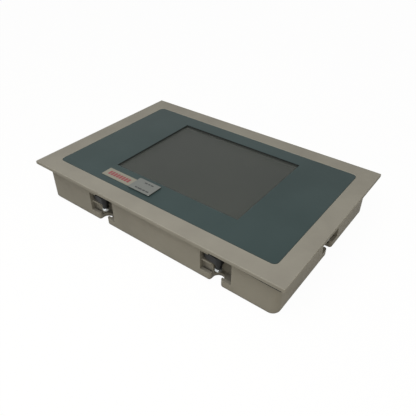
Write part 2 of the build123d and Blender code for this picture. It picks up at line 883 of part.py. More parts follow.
with BuildPart() as display_bracket:
    with BuildSketch(Plane.XY.offset(bracket_rear)):
        with Locations(window_center):
            RectangleRounded(bracket_length, bracket_width, bracket_corner)
    extrude(amount=bracket_sheet)
    with BuildSketch(Plane.XY.offset(bracket_front)):
        with Locations(window_center):
            with GridLocations(bracket_length - bracket_sheet, 1, 2, 1):
                Rectangle(bracket_sheet, 2 * standoff_pitch - 4 * standoff_flats)
    extrude(amount=bracket_lip)
    with BuildSketch(Plane.XY.offset(bracket_rear)):
        with Locations(window_center):
            with GridLocations(bracket_window_pitch, 1, 2, 1):
                RectangleRounded(bracket_window_length, bracket_window_width, bracket_corner)
        with Locations(*standoff_places, *ear_places):
            Circle(screw_radius + thread_gap)
        with Locations(*spacer_places):
            Circle(screw_radius + thread_gap)
        with Locations((ribbon_x, ribbon_y)):
            Rectangle(4 * ribbon_thickness, ribbon_width + 2 * ribbon_thickness)
    extrude(amount=bracket_sheet, mode=Mode.SUBTRACT)
display_bracket.part.label = "display_bracket"
export_step(display_bracket.part, "parts/display_bracket.step")

with BuildPart() as bracket_screws:
    with BuildSketch(Plane.XY.offset(bracket_rear)):
        with Locations(*standoff_places):
            Circle(pan_head_radius)
    extrude(amount=-pan_head_height)
    fillet(bracket_screws.faces().group_by(Axis.Z)[0].edges(), pan_head_round)
    with BuildSketch(Plane.XY.offset(bracket_rear)):
        with Locations(*standoff_places):
            Circle(screw_radius)
    extrude(amount=bracket_sheet + (flange_rear - bracket_front) / 2 - screw_end_gap)
bracket_screws.part.label = "bracket_screws"
export_step(bracket_screws.part, "parts/bracket_screws.step")

with BuildPart() as display_screws:
    with BuildSketch(Plane.XY.offset(display_rear + ear_sheet)):
        with Locations(*ear_places):
            Circle(pan_head_radius)
    extrude(amount=pan_head_height)
    with BuildSketch(Plane.XY.offset(display_rear + ear_sheet)):
        with Locations(*ear_places):
            Circle(screw_radius)
    extrude(amount=-(ear_sheet + bracket_sheet))
display_screws.part.label = "display_screws"
export_step(display_screws.part, "parts/display_screws.step")

# Connector plate over the inner end of the bay
with BuildPart() as connector_plate:
    with BuildSketch(Plane.XY.offset(bay_depth)):
        with Locations((bay_x, bay_y)):
            RectangleRounded(bay_length + 2 * plate_lap, bay_width + 2 * plate_lap, bay_corner)
        with Locations(*bay_posts):
            Circle(bay_post_radius)
        with Locations(*bay_posts):
            Circle(bay_screw_radius + thread_gap, mode=Mode.SUBTRACT)
        with Locations(*lan_places):
            Rectangle(lan_length + 2 * cutout_gap, lan_width + 2 * cutout_gap, mode=Mode.SUBTRACT)
        with Locations(*usb_places):
            Rectangle(usb_length + 2 * cutout_gap, usb_width + 2 * cutout_gap, mode=Mode.SUBTRACT)
        with Locations((power_x, row_lower)):
            Rectangle(power_length + 2 * cutout_gap, power_width + 2 * cutout_gap, mode=Mode.SUBTRACT)
        with Locations((serial_x, row_upper)):
            Rectangle(
                serial_body_length + 2 * cutout_gap, serial_body_width + 2 * cutout_gap, mode=Mode.SUBTRACT
            )
        with Locations(*lock_places):
            Circle(lock_clear_radius, mode=Mode.SUBTRACT)
        with Locations((earth_x, row_lower)):
            Circle(earth_radius + thread_gap, mode=Mode.SUBTRACT)
    extrude(amount=plate_sheet)
connector_plate.part.label = "connector_plate"
export_step(connector_plate.part, "parts/connector_plate.step")

with BuildPart() as plate_screws:
    with BuildSketch(Plane.XY.offset(bay_depth + plate_sheet)):
        with Locations(*bay_posts):
            Circle(pan_head_radius)
    extrude(amount=pan_head_height)
    with BuildSketch(Plane.XY.offset(bay_depth + plate_sheet)):
        with Locations(*bay_posts):
            Circle(bay_screw_radius - thread_gap)
    extrude(amount=-(plate_sheet + bay_depth - back_wall - screw_end_gap))
plate_screws.part.label = "plate_screws"
export_step(plate_screws.part, "parts/plate_screws.step")

# Network sockets: a shield box with the plug's mouth, its latch step and the contact comb
with BuildPart() as lan_sockets:
    with BuildSketch(Plane.XY.offset(lan_face)):
        with Locations(*lan_places):
            Rectangle(lan_length, lan_width)
    extrude(amount=board_rear - lan_face)
    with BuildSketch(Plane.XY.offset(lan_face)):
        with Locations(*lan_places):
            Rectangle(lan_mouth_length, lan_mouth_width)
            with Locations((0, -lan_mouth_width / 2 - lan_latch_width / 2)):
                Rectangle(lan_latch_length, lan_latch_width)
    extrude(amount=lan_mouth_depth, mode=Mode.SUBTRACT)
    with BuildSketch(Plane.XY.offset(lan_face + lan_mouth_depth)):
        with Locations(*[(x, y + lan_mouth_width / 2 - contact_width / 2) for x, y in lan_places]):
            Rectangle(contact_length, contact_width)
    extrude(amount=-contact_depth)
lan_sockets.part.label = "lan_sockets"
export_step(lan_sockets.part, "parts/lan_sockets.step")

# USB sockets: a folded shell with a tongue
with BuildPart() as usb_sockets:
    with BuildSketch(Plane.XY.offset(usb_face)):
        with Locations(*usb_places):
            RectangleRounded(usb_length, usb_width, usb_shell)
    extrude(amount=board_rear - usb_face)
    with BuildSketch(Plane.XY.offset(usb_face)):
        with Locations(*usb_places):
            Rectangle(usb_length - 2 * usb_shell, usb_width - 2 * usb_shell)
    extrude(amount=usb_mouth_depth, mode=Mode.SUBTRACT)
    with BuildSketch(Plane.XY.offset(usb_face + usb_shell)):
        with Locations(*[(x, y + usb_width / 2 - usb_shell - usb_tongue_width) for x, y in usb_places]):
            Rectangle(usb_tongue_length, usb_tongue_width)
    extrude(amount=usb_mouth_depth - usb_shell)
usb_sockets.part.label = "usb_sockets"
export_step(usb_sockets.part, "parts/usb_sockets.step")

# Supply socket with its square pins
with BuildPart() as power_socket:
    with BuildSketch(Plane.XY.offset(power_face)):
        with Locations((power_x, row_lower)):
            Rectangle(power_length, power_width)
    extrude(amount=board_rear - power_face)
    with BuildSketch(Plane.XY.offset(power_face)):
        with Locations((power_x, row_lower)):
            Rectangle(power_length - 2 * power_wall, power_width - 2 * power_wall)
    extrude(amount=power_mouth_depth, mode=Mode.SUBTRACT)
    with BuildSketch(Plane.XY.offset(power_face + power_wall)):
        with Locations((power_x, row_lower)):
            with GridLocations(power_pitch, 1, power_pins, 1):
                Rectangle(power_pin_side, power_pin_side)
    extrude(amount=power_mouth_depth - power_wall)
power_socket.part.label = "power_socket"
export_step(power_socket.part, "parts/power_socket.step")

# Nine-way serial socket: body, flange, tapered shell and two rows of holes
with BuildPart() as serial_socket:
    with BuildSketch(Plane.XY.offset(bay_depth)):
        with Locations((serial_x, row_upper)):
            Rectangle(serial_body_length, serial_body_width)
    extrude(amount=board_rear - bay_depth)
    with BuildSketch(Plane.XY.offset(bay_depth - serial_flange)):
        with Locations((serial_x, row_upper)):
            RectangleRounded(serial_flange_length, serial_flange_width, serial_flange_corner)
        with Locations(*lock_places):
            Circle(lock_clear_radius, mode=Mode.SUBTRACT)
    extrude(amount=serial_flange)
    with BuildSketch(Plane.XY.offset(bay_depth - serial_flange)):
        with Locations((serial_x, row_upper)):
            Trapezoid(serial_shell_length, serial_shell_width, 90 - serial_shell_taper)
        fillet(vertices(), serial_shell_round)
    extrude(amount=-serial_shell_reach)
    with BuildSketch(Plane.XY.offset(bay_depth - serial_flange - serial_shell_reach)):
        with Locations((serial_x, row_upper - serial_row_pitch / 2)):
            with GridLocations(serial_pin_pitch, 1, 5, 1):
                Circle(serial_hole_radius)
        with Locations((serial_x, row_upper + serial_row_pitch / 2)):
            with GridLocations(serial_pin_pitch, 1, 4, 1):
                Circle(serial_hole_radius)
    extrude(amount=serial_hole_depth, mode=Mode.SUBTRACT)
serial_socket.part.label = "serial_socket"
export_step(serial_socket.part, "parts/serial_socket.step")

# Hex jack posts that hold the serial socket
with BuildPart() as serial_locks:
    with BuildSketch(Plane.XY.offset(bay_depth - serial_flange)):
        with Locations(*lock_places):
            RegularPolygon(lock_flats / 2, 6, major_radius=False)
    extrude(amount=-lock_height)
    with BuildSketch(Plane.XY.offset(bay_depth - serial_flange)):
        with Locations(*lock_places):
            Circle(lock_shank_radius)
    extrude(amount=serial_flange + plate_sheet)
    with BuildSketch(Plane.XY.offset(bay_depth - serial_flange - lock_height)):
        with Locations(*lock_places):
            Circle(lock_bore_radius)
    extrude(amount=lock_height - screw_end_gap, mode=Mode.SUBTRACT)
serial_locks.part.label = "serial_locks"
export_step(serial_locks.part, "parts/serial_locks.step")

# Earth terminal: a stud with its head behind the plate, washer and nut in front
with BuildPart() as earth_terminal:
    with BuildSketch(Plane.XY.offset(earth_end)):
        with Locations((earth_x, row_lower)):
            Circle(earth_radius)
    extrude(amount=bay_depth + plate_sheet - earth_end)
    with BuildSketch(Plane.XY.offset(bay_depth + plate_sheet)):
        with Locations((earth_x, row_lower)):
            Circle(earth_head_radius)
    extrude(amount=earth_head_height)
    with BuildSketch(Plane.XY.offset(bay_depth)):
        with Locations((earth_x, row_lower)):
            Circle(earth_washer_radius)
            Circle(earth_radius + thread_gap, mode=Mode.SUBTRACT)
    extrude(amount=-earth_washer_height)
    with BuildSketch(Plane.XY.offset(bay_depth - earth_washer_height)):
        with Locations((earth_x, row_lower)):
            RegularPolygon(earth_nut_flats / 2, 6, major_radius=False)
            Circle(earth_radius + thread_gap, mode=Mode.SUBTRACT)
    extrude(amount=-earth_nut_height)
earth_terminal.part.label = "earth_terminal"
export_step(earth_terminal.part, "parts/earth_terminal.step")

# Main board with its soldered pieces
bay_edge = bay_y - bay_width / 2 + tongue_margin
board_edge_y = board_center_y - board_width / 2
with BuildPart() as main_board:
    with BuildSketch(Plane.XY.offset(board_rear)):
        with Locations((0, board_center_y)):
            Rectangle(board_length, board_width)
        with Locations((bay_x, bay_edge)):
            Rectangle(tongue_length, board_edge_y - bay_edge, align=(Align.CENTER, Align.MIN))
        with Locations(*spacer_places):
            Circle(screw_radius + thread_gap, mode=Mode.SUBTRACT)
    extrude(amount=board_thickness)
    with BuildSketch(Plane.XY.offset(board_rear)):
        with Locations((sink_x, sink_y)):
            Rectangle(chip_size, chip_size)
    extrude(amount=-chip_height)
    with BuildSketch(Plane.XY.offset(board_rear)):
        with Locations(*chip_places):
            Rectangle(chip_side, chip_side)
    extrude(amount=-chip_thickness)
    with BuildSketch(Plane.XY.offset(board_rear)):
        with Locations(*capacitor_places):
            Circle(capacitor_radius)
    extrude(amount=-capacitor_height)
    with BuildSketch(Plane.XY.offset(board_rear)):
        with Locations((choke_x, 0)):
            with GridLocations(1, choke_pitch, 1, 2):
                RectangleRounded(choke_side, choke_side, choke_corner)
    extrude(amount=-choke_height)
    with BuildSketch(Plane.XY.offset(board_front)):
        with Locations((tail_x, tail_y)):
            Rectangle(tail_width + 2 * header_margin, header_width)
        with Locations((ribbon_x, ribbon_y)):
            Rectangle(header_width, ribbon_width + 2 * header_margin)
    extrude(amount=header_height)
main_board.part.label = "main_board"
export_step(main_board.part, "parts/main_board.step")

with BuildPart() as board_spacers:
    with BuildSketch(Plane.XY.offset(board_front)):
        with Locations(*spacer_places):
            Circle(spacer_radius)
            Circle(screw_radius + thread_gap, mode=Mode.SUBTRACT)
    extrude(amount=board_gap)
board_spacers.part.label = "board_spacers"
export_step(board_spacers.part, "parts/board_spacers.step")

with BuildPart() as board_screws:
    with BuildSketch(Plane.XY.offset(board_rear)):
        with Locations(*spacer_places):
            Circle(pan_head_radius)
    extrude(amount=-pan_head_height)
    with BuildSketch(Plane.XY.offset(board_rear)):
        with Locations(*spacer_places):
            Circle(screw_radius)
    extrude(amount=board_thickness + board_gap + bracket_sheet)
board_screws.part.label = "board_screws"
export_step(board_screws.part, "parts/board_screws.step")

# Finned heat sink on the processor, right above the vents of the cover
sink_top = board_rear - chip_height
fin_pitch = (sink_length - fin_thickness) / (fin_count - 1)
with BuildPart() as heat_sink:
    with BuildSketch(Plane.XY.offset(sink_top - sink_base)):
        with Locations((sink_x, sink_y)):
            Rectangle(sink_length, sink_width)
    extrude(amount=sink_base)
    with BuildSketch(Plane.XY.offset(sink_top - sink_base)):
        with Locations((sink_x, sink_y)):
            with GridLocations(fin_pitch, 1, fin_count, 1):
                Rectangle(fin_thickness, sink_width)
    extrude(amount=-(sink_top - sink_base - cover_thickness - fin_clearance))
heat_sink.part.label = "heat_sink"
export_step(heat_sink.part, "parts/heat_sink.step")

# Memory socket with two side arms, and its module
memory_edge = memory_y - memory_socket_width / 2 + memory_slot_depth
memory_top = board_rear - memory_level
with BuildPart() as memory_socket:
    with BuildSketch(Plane.XY.offset(board_rear)):
        with Locations((memory_x, memory_y)):
            Rectangle(memory_socket_length, memory_socket_width)
        with Locations((memory_x, memory_y)):
            with GridLocations(memory_length + 2 * card_gap + card_rail, 1, 2, 1):
                Rectangle(card_rail, memory_width - memory_slot_depth, align=(Align.CENTER, Align.MAX))
    extrude(amount=-memory_socket_height)
    with BuildSketch(Plane.XY.offset(memory_top + thread_gap)):
        with Locations((memory_x, memory_edge + thread_gap)):
            Rectangle(memory_length + 2 * thread_gap, memory_width, align=(Align.CENTER, Align.MAX))
    extrude(amount=-(memory_thickness + 2 * thread_gap), mode=Mode.SUBTRACT)
memory_socket.part.label = "memory_socket"
export_step(memory_socket.part, "parts/memory_socket.step")

with BuildPart() as memory_module:
    with BuildSketch(Plane.XY.offset(memory_top)):
        with Locations((memory_x, memory_edge)):
            Rectangle(memory_length, memory_width, align=(Align.CENTER, Align.MAX))
    extrude(amount=-memory_thickness)
    with BuildSketch(Plane.XY.offset(memory_top - memory_thickness)):
        with Locations((memory_x, memory_edge - memory_width / 2 - memory_slot_depth / 2)):
            with GridLocations(memory_chip_pitch, 1, memory_chips, 1):
                Rectangle(memory_chip_length, memory_chip_width)
    extrude(amount=-memory_chip_height)
memory_module.part.label = "memory_module"
export_step(memory_module.part, "parts/memory_module.step")

# Card slot: header bar with two rails, and the card in it
card_top = board_rear - card_level
card_edge = card_y + card_width / 2
with BuildPart() as card_slot:
    with BuildSketch(Plane.XY.offset(board_rear)):
        with Locations((card_x, card_edge)):
            Rectangle(card_length + 2 * card_rail, card_header, align=(Align.CENTER, Align.MIN))
        with Locations((card_x, card_edge)):
            with GridLocations(card_length + card_rail, 1, 2, 1):
                Rectangle(card_rail, card_rail_reach, align=(Align.CENTER, Align.MAX))
    extrude(amount=-(card_level + card_thickness + card_level))
    with BuildSketch(Plane.XY.offset(card_top + thread_gap)):
        with Locations((card_x, card_edge + thread_gap)):
            Rectangle(card_length + 2 * thread_gap, card_width, align=(Align.CENTER, Align.MAX))
    extrude(amount=-(card_thickness + 2 * thread_gap), mode=Mode.SUBTRACT)
card_slot.part.label = "card_slot"
export_step(card_slot.part, "parts/card_slot.step")

with BuildPart() as memory_card:
    with BuildSketch(Plane.XY.offset(card_top)):
        with Locations((card_x, card_edge)):
            Rectangle(card_length, card_width, align=(Align.CENTER, Align.MAX))
    extrude(amount=-card_thickness)
memory_card.part.label = "memory_card"
export_step(memory_card.part, "parts/memory_card.step")

# Coin cell in its round holder
with BuildPart() as battery_holder:
    with BuildSketch(Plane.XY.offset(board_rear)):
        with Locations((coin_x, coin_y)):
            Circle(coin_radius + holder_gap + holder_wall)
    extrude(amount=-(holder_floor + coin_height))
    with BuildSketch(Plane.XY.offset(board_rear - holder_floor)):
        with Locations((coin_x, coin_y)):
            Circle(coin_radius + holder_gap)
    extrude(amount=-coin_height, mode=Mode.SUBTRACT)
battery_holder.part.label = "battery_holder"
export_step(battery_holder.part, "parts/battery_holder.step")

with BuildPart() as coin_cell:
    with BuildSketch(Plane.XY.offset(board_rear - holder_floor)):
        with Locations((coin_x, coin_y)):
            Circle(coin_radius)
    extrude(amount=-coin_height)
    chamfer(coin_cell.faces().sort_by(Axis.Z)[0].edges(), holder_gap)
coin_cell.part.label = "coin_cell"
export_step(coin_cell.part, "parts/coin_cell.step")

# Backlight inverter under the far edge of the bracket
with BuildPart() as backlight_inverter:
    with BuildSketch(Plane.XY.offset(bracket_rear - inverter_gap)):
        with Locations((0, inverter_y)):
            Rectangle(inverter_length, inverter_width)
    extrude(amount=-inverter_board)
    with BuildSketch(Plane.XY.offset(bracket_rear)):
        with Locations((0, inverter_y)):
            with GridLocations(inverter_length - inverter_width, 1, 2, 1):
                Circle(spacer_radius)
    extrude(amount=-inverter_gap)
    with BuildSketch(Plane.XY.offset(bracket_rear - inverter_gap - inverter_board)):
        with Locations((inverter_length / 4, inverter_y), (-inverter_length / 4, inverter_y)):
            RectangleRounded(coil_length, coil_width, coil_corner)
    extrude(amount=-coil_height)
backlight_inverter.part.label = "backlight_inverter"
export_step(backlight_inverter.part, "parts/backlight_inverter.step")

# Flat cables: the tail of the touch glass and the ribbon of the display
tail_top = touch_rear - tail_thickness / 2
tail_start = window_shift - display_width / 2 + display_border - gasket_band - tail_thickness
cable_end = board_front + header_height
with BuildPart() as touch_tail:
    with BuildSketch(Plane.YZ.offset(tail_x - tail_width / 2)):
        with BuildLine():
            FilletPolyline(
                (tail_start, tail_top),
                (tail_y, tail_top),
                (tail_y, cable_end),
                radius=tail_bend,
            )
        trace(line_width=tail_thickness)
    extrude(amount=tail_width)
touch_tail.part.label = "touch_tail"
export_step(touch_tail.part, "parts/touch_tail.step")

ribbon_level = display_rear + display_depth / 2
with BuildPart() as display_ribbon:
    with BuildSketch(Plane.XZ.offset(-(ribbon_y + ribbon_width / 2))):
        with BuildLine():
            FilletPolyline(
                (display_length / 2, ribbon_level),
                (ribbon_x, ribbon_level),
                (ribbon_x, cable_end),
                radius=ribbon_bend,
            )
        trace(line_width=ribbon_thickness)
    extrude(amount=ribbon_width)
display_ribbon.part.label = "display_ribbon"
export_step(display_ribbon.part, "parts/display_ribbon.step")
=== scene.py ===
import bpy
import bmesh
import math
from mathutils import Euler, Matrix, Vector, noise


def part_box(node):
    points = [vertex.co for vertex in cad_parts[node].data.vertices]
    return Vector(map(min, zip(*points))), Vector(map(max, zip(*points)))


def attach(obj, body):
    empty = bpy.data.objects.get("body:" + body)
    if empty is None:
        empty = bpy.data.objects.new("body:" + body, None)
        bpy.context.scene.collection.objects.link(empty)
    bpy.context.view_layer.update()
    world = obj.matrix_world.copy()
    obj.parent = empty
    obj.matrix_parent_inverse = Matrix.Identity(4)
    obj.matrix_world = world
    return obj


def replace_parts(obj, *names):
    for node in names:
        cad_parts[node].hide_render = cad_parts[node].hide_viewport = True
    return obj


# Built-in panel computer: finishes, printed and threaded detail, light and camera round the fixed
# frame. Everything is in metres; mm turns a size in millimetres into metres.

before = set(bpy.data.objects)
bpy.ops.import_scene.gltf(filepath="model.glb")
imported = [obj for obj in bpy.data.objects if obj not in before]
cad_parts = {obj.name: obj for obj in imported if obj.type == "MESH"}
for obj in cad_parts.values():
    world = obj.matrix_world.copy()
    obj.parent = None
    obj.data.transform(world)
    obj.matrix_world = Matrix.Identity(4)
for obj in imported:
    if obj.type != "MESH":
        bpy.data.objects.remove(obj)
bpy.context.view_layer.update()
mm = 0.001
tiny = 1e-6  # points nearer than this are one, and no divisor is smaller
print("frame loaded with", len(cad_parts), "nodes")


# Camera, as solved from the straight edges of the frame in the photograph
cameraView = {
    "place": (0.21105, -0.27393, 0.25484),
    "turnDegrees": (52.897, -0.241, 37.181),
    "lensMm": 38.30,
    "sensorMm": 36.0,
    "shiftX": -0.0026,
    "shiftY": -0.0004,
    "clipStart": 0.01,
}


def makeCamera():
    data = bpy.data.cameras.new("photoCamera")
    data.lens = cameraView["lensMm"]
    data.sensor_width = cameraView["sensorMm"]
    data.shift_x = cameraView["shiftX"]
    data.shift_y = cameraView["shiftY"]
    data.clip_start = cameraView["clipStart"]
    camera = bpy.data.objects.new("photoCamera", data)
    camera.location = cameraView["place"]
    camera.rotation_euler = Euler([math.radians(turn) for turn in cameraView["turnDegrees"]])
    bpy.context.scene.collection.objects.link(camera)
    bpy.context.scene.camera = camera


makeCamera()
print("camera placed")


# Helpers for materials

midSpan = (0.3, 0.7)  # where most of a noise lies
mixFactor, mixFirst, mixSecond, mixResult = 0, 6, 7, 2  # sockets of a colour mix, by number


def toneOf(hexColour):
    # sRGB hex to linear colour with alpha 1
    parts = [int(hexColour[i:i + 2], 16) / 255 for i in (1, 3, 5)]
    linear = [c / 12.92 if c <= 0.04045 else ((c + 0.055) / 1.055) ** 2.4 for c in parts]
    return (*linear, 1.0)


def perMm(size):
    # scale of a noise, cell or brick pattern whose features have this size in millimetres
    return 1 / (size * mm)


def bandsPerMm(size):
    # scale of a wave pattern whose bands are this far apart in millimetres
    return math.pi / 10 / (size * mm)


def addNode(tree, kind, sockets=None, **settings):
    # sockets go by name or number and take a value, a link or a hex colour; settings are the node's
    # own fields
    node = tree.nodes.new("ShaderNode" + kind)
    for name, value in settings.items():
        setattr(node, name, value)
    for name, value in (sockets or {}).items():
        if isinstance(value, bpy.types.NodeSocket):
            tree.links.new(value, node.inputs[name])
        else:
            node.inputs[name].default_value = toneOf(value) if isinstance(value, str) else value
    return node


def newMaterial(name, **sockets):
    # a material, its node tree, its principled shader and the place on the piece; the shader's
    # sockets go by name, with _ for a space
    material = bpy.data.materials.new(name)
    material.use_nodes = True
    tree = material.node_tree
    shader = tree.nodes["Principled BSDF"]
    for key, value in sockets.items():
        shader.inputs[key.replace("_", " ")].default_value = value
    where = addNode(tree, "TexCoord").outputs["Object"]
    return material, tree, shader, where


def blendTones(tree, pattern, first, second, span=(0.0, 1.0)):
    # the first tone where the pattern is at the start of the span, the second at its end
    share = addNode(tree, "MapRange", {"Value": pattern, "From Min": span[0], "From Max": span[1]})
    mix = addNode(tree, "Mix", {
        mixFactor: share.outputs["Result"], mixFirst: first, mixSecond: second,
    }, data_type="RGBA")
    return mix.outputs[mixResult]


def grainFinish(tree, shader, pattern, relief, reliefMm, gloss=None):
    # the pattern as a fine relief, and as a roughness that wavers between the two values of gloss
    bump = addNode(tree, "Bump", {"Height": pattern, "Strength": relief, "Distance": reliefMm * mm})
    tree.links.new(bump.outputs["Normal"], shader.inputs["Normal"])
    if gloss:
        waver = addNode(tree, "MapRange", {
            "Value": pattern, "From Min": midSpan[0], "From Max": midSpan[1],
            "To Min": gloss[0], "To Max": gloss[1],
        })
        tree.links.new(waver.outputs["Result"], shader.inputs["Roughness"])


edgeLook = {"samples": 4, "flatCosine": 0.995, "sharpCosine": 0.93}


def edgeLightening(tree, look, pattern):
    # how far the convex edges turn lighter, broken up by a pattern; 0 on flats (rubbed wear on the
    # lever; rubbed wear and a painted highlight on the paint)
    soft = addNode(tree, "Bevel", {"Radius": look["edgeMm"] * mm}, samples=edgeLook["samples"])
    flat = addNode(tree, "NewGeometry")
    along = addNode(tree, "VectorMath", {
        0: soft.outputs["Normal"], 1: flat.outputs["Normal"],
    }, operation="DOT_PRODUCT")
    edge = addNode(tree, "MapRange", {
        "Value": along.outputs["Value"],
        "From Min": edgeLook["flatCosine"], "From Max": edgeLook["sharpCosine"],
    })
    patchyEdge = addNode(tree, "MapRange", {
        "Value": pattern, "From Min": look["patchSpan"][0], "From Max": look["patchSpan"][1],
        "To Min": look["patchShare"][0], "To Max": look["patchShare"][1],
    })
    return addNode(tree, "Math", {
        0: edge.outputs["Result"], 1: patchyEdge.outputs["Result"],
    }, operation="MULTIPLY").outputs[0]


# Materials

paintLook = {
    # the lighter edge colour on the next line is partly rubbed paint and partly a painted highlight
    # along the edges
    "light": "#8B8678", "dark": "#837E71", "lightEdge": "#A19C8B", "recessShade": "#57534B",
    "roughness": 0.6, "gloss": (0.54, 0.68), "specular": 0.2,
    "cloudMm": 38, "cloudSpan": (0.35, 0.65),
    "peelMm": 0.35, "relief": 0.35, "reliefMm": 0.05,
    "scuffMm": 6, "edgeMm": 0.9, "patchSpan": (0.42, 0.62), "patchShare": (0.15, 0.75),
    # the recess values here, with the recess colour above, paint shade into hollows, pockets and
    # under the flange
    "recessMm": 9, "recessSpan": (0.1, 0.75), "recessSamples": 6,
}


def wetPaintOnCastAluminium():
    # Satin champagne-grey stoving paint sprayed on a fine cast or milled alloy: an even coat with
    # a faint orange peel, slightly cloudy in tone, darkened in its recesses by painted shade, and
    # lighter on its edges, partly rubbed paint and partly a painted highlight.
    look = paintLook
    material, tree, shader, where = newMaterial(
        "wetPaintOnCastAluminium", Roughness=look["roughness"], IOR=1.5,
        Specular_IOR_Level=look["specular"])
    cloud = addNode(tree, "TexNoise", {
        "Vector": where, "Scale": perMm(look["cloudMm"]), "Detail": 4.0,
    })
    peel = addNode(tree, "TexNoise", {
        "Vector": where, "Scale": perMm(look["peelMm"]), "Detail": 3.0,
    })
    scuff = addNode(tree, "TexNoise", {
        "Vector": where, "Scale": perMm(look["scuffMm"]), "Detail": 8.0, "Roughness": 0.7,
    })
    coat = blendTones(tree, cloud.outputs["Fac"], look["dark"], look["light"], look["cloudSpan"])
    # painted shade: ambient occlusion darkens the coat towards the recess colour wherever it is
    # hemmed in
    clear = addNode(tree, "AmbientOcclusion", {
        "Distance": look["recessMm"] * mm,
    }, samples=look["recessSamples"])
    paintedShadeCoat = blendTones(tree, clear.outputs["AO"], look["recessShade"], coat, look["recessSpan"])
    # painted highlight: the paint's edges take the lighter edge colour, partly as rubbed paint and
    # partly as a highlight painted along them
    lightEdge = edgeLightening(tree, look, scuff.outputs["Fac"])
    tree.links.new(blendTones(tree, lightEdge, paintedShadeCoat, look["lightEdge"]), shader.inputs["Base Color"])
    waver = addNode(tree, "MapRange", {
        "Value": scuff.outputs["Fac"], "From Min": midSpan[0], "From Max": midSpan[1],
        "To Min": look["gloss"][0], "To Max": look["gloss"][1],
    })
    tree.links.new(waver.outputs["Result"], shader.inputs["Roughness"])
    grainFinish(tree, shader, peel.outputs["Fac"], look["relief"], look["reliefMm"])
    return material


filmLook = {
    "ink": "#313E3C", "inkPale": "#364341", "roughness": 0.4, "gloss": (0.36, 0.5), "specular": 0.1,
    "cloudMm": 55, "cloudSpan": (0.35, 0.65), "grainMm": 0.3, "relief": 0.3, "reliefMm": 0.03,
}


def printedPolyester():
    # Reverse-printed polyester film with a fine velvet texture: deep petrol grey, softly matt,
    # with a slight unevenness in the ink.
    look = filmLook
    material, tree, shader, where = newMaterial(
        "printedPolyester", Roughness=look["roughness"], IOR=1.57,
        Specular_IOR_Level=look["specular"])
    cloud = addNode(tree, "TexNoise", {
        "Vector": where, "Scale": perMm(look["cloudMm"]), "Detail": 3.0,
    })
    grain = addNode(tree, "TexNoise", {
        "Vector": where, "Scale": perMm(look["grainMm"]), "Detail": 2.0,
    })
    ink = blendTones(tree, cloud.outputs["Fac"], look["ink"], look["inkPale"], look["cloudSpan"])
    tree.links.new(ink, shader.inputs["Base Color"])
    grainFinish(tree, shader, grain.outputs["Fac"], look["relief"], look["reliefMm"], look["gloss"])
    return material


rubberLook = {
    "closedCellFoam": {"skin": "#141514", "cellMm": 0.5},
    "blackSealSheet": {"skin": "#0F100F", "cellMm": 0.3},
    "cellEdge": "#262725", "cellSpan": (0.0, 0.6), "roughness": 0.85, "specular": 0.3,
    "relief": 0.6, "reliefMm": 0.12,
}


def foamRubber(name):
    # Closed-cell black rubber foam cut from sheet: dull, with tiny open cells on its cut faces.
    look = rubberLook
    sheet = look[name]
    material, tree, shader, where = newMaterial(
        name, Roughness=look["roughness"], IOR=1.5, Specular_IOR_Level=look["specular"])
    cells = addNode(tree, "TexVoronoi", {"Vector": where, "Scale": perMm(sheet["cellMm"])})
    colour = blendTones(
        tree, cells.outputs["Distance"], sheet["skin"], look["cellEdge"], look["cellSpan"])
    tree.links.new(colour, shader.inputs["Base Color"])
    grainFinish(tree, shader, cells.outputs["Distance"], look["relief"], look["reliefMm"])
    return material


glassLook = {
    "haze": "#4B4E48", "hazePale": "#50534C", "alpha": 0.55, "roughness": 0.3, "specular": 0.15,
    "hazeMm": 60, "sparkleMm": 0.25, "relief": 0.08, "reliefMm": 0.004,
}


def etchedTouchGlass():
    # Resistive touch glass with an etched anti-glare film: a grey haze over the dark display,
    # blurred reflections and a very fine sparkle.
    look = glassLook
    material, tree, shader, where = newMaterial(
        "etchedTouchGlass", Roughness=look["roughness"], IOR=1.52, Alpha=look["alpha"],
        Specular_IOR_Level=look["specular"])
    sparkle = addNode(tree, "TexNoise", {
        "Vector": where, "Scale": perMm(look["sparkleMm"]), "Detail": 2.0,
    })
    haze = addNode(tree, "TexNoise", {
        "Vector": where, "Scale": perMm(look["hazeMm"]), "Detail": 2.0,
    })
    colour = blendTones(tree, haze.outputs["Fac"], look["haze"], look["hazePale"], midSpan)
    tree.links.new(colour, shader.inputs["Base Color"])
    grainFinish(tree, shader, sparkle.outputs["Fac"], look["relief"], look["reliefMm"])
    return material


def insideMask(tree, where, low, high, edge):
    # 1 where the point lies inside this box in X and Y, 0 outside, with a soft edge
    split = addNode(tree, "SeparateXYZ", {0: where})
    shares = []
    for axis, name in enumerate("XY"):
        middle = (low[axis] + high[axis]) / 2
        half = (high[axis] - low[axis]) / 2
        offset = addNode(tree, "Math", {0: split.outputs[name], 1: middle}, operation="SUBTRACT")
        away = addNode(tree, "Math", {0: offset.outputs[0]}, operation="ABSOLUTE")
        share = addNode(tree, "MapRange", {
            "Value": away.outputs[0], "From Min": half, "From Max": half - edge,
        })
        shares.append(share.outputs["Result"])
    return addNode(tree, "Math", {0: shares[0], 1: shares[1]}, operation="MULTIPLY").outputs[0]


displayLook = {
    "active": "#262724", "activePale": "#2B2C29", "border": "#5E5E57", "roughness": 0.35,
    "endBorderMm": 10.25, "sideBorderMm": 9.35, "softMm": 0.3, "rowMm": 1.223,
}


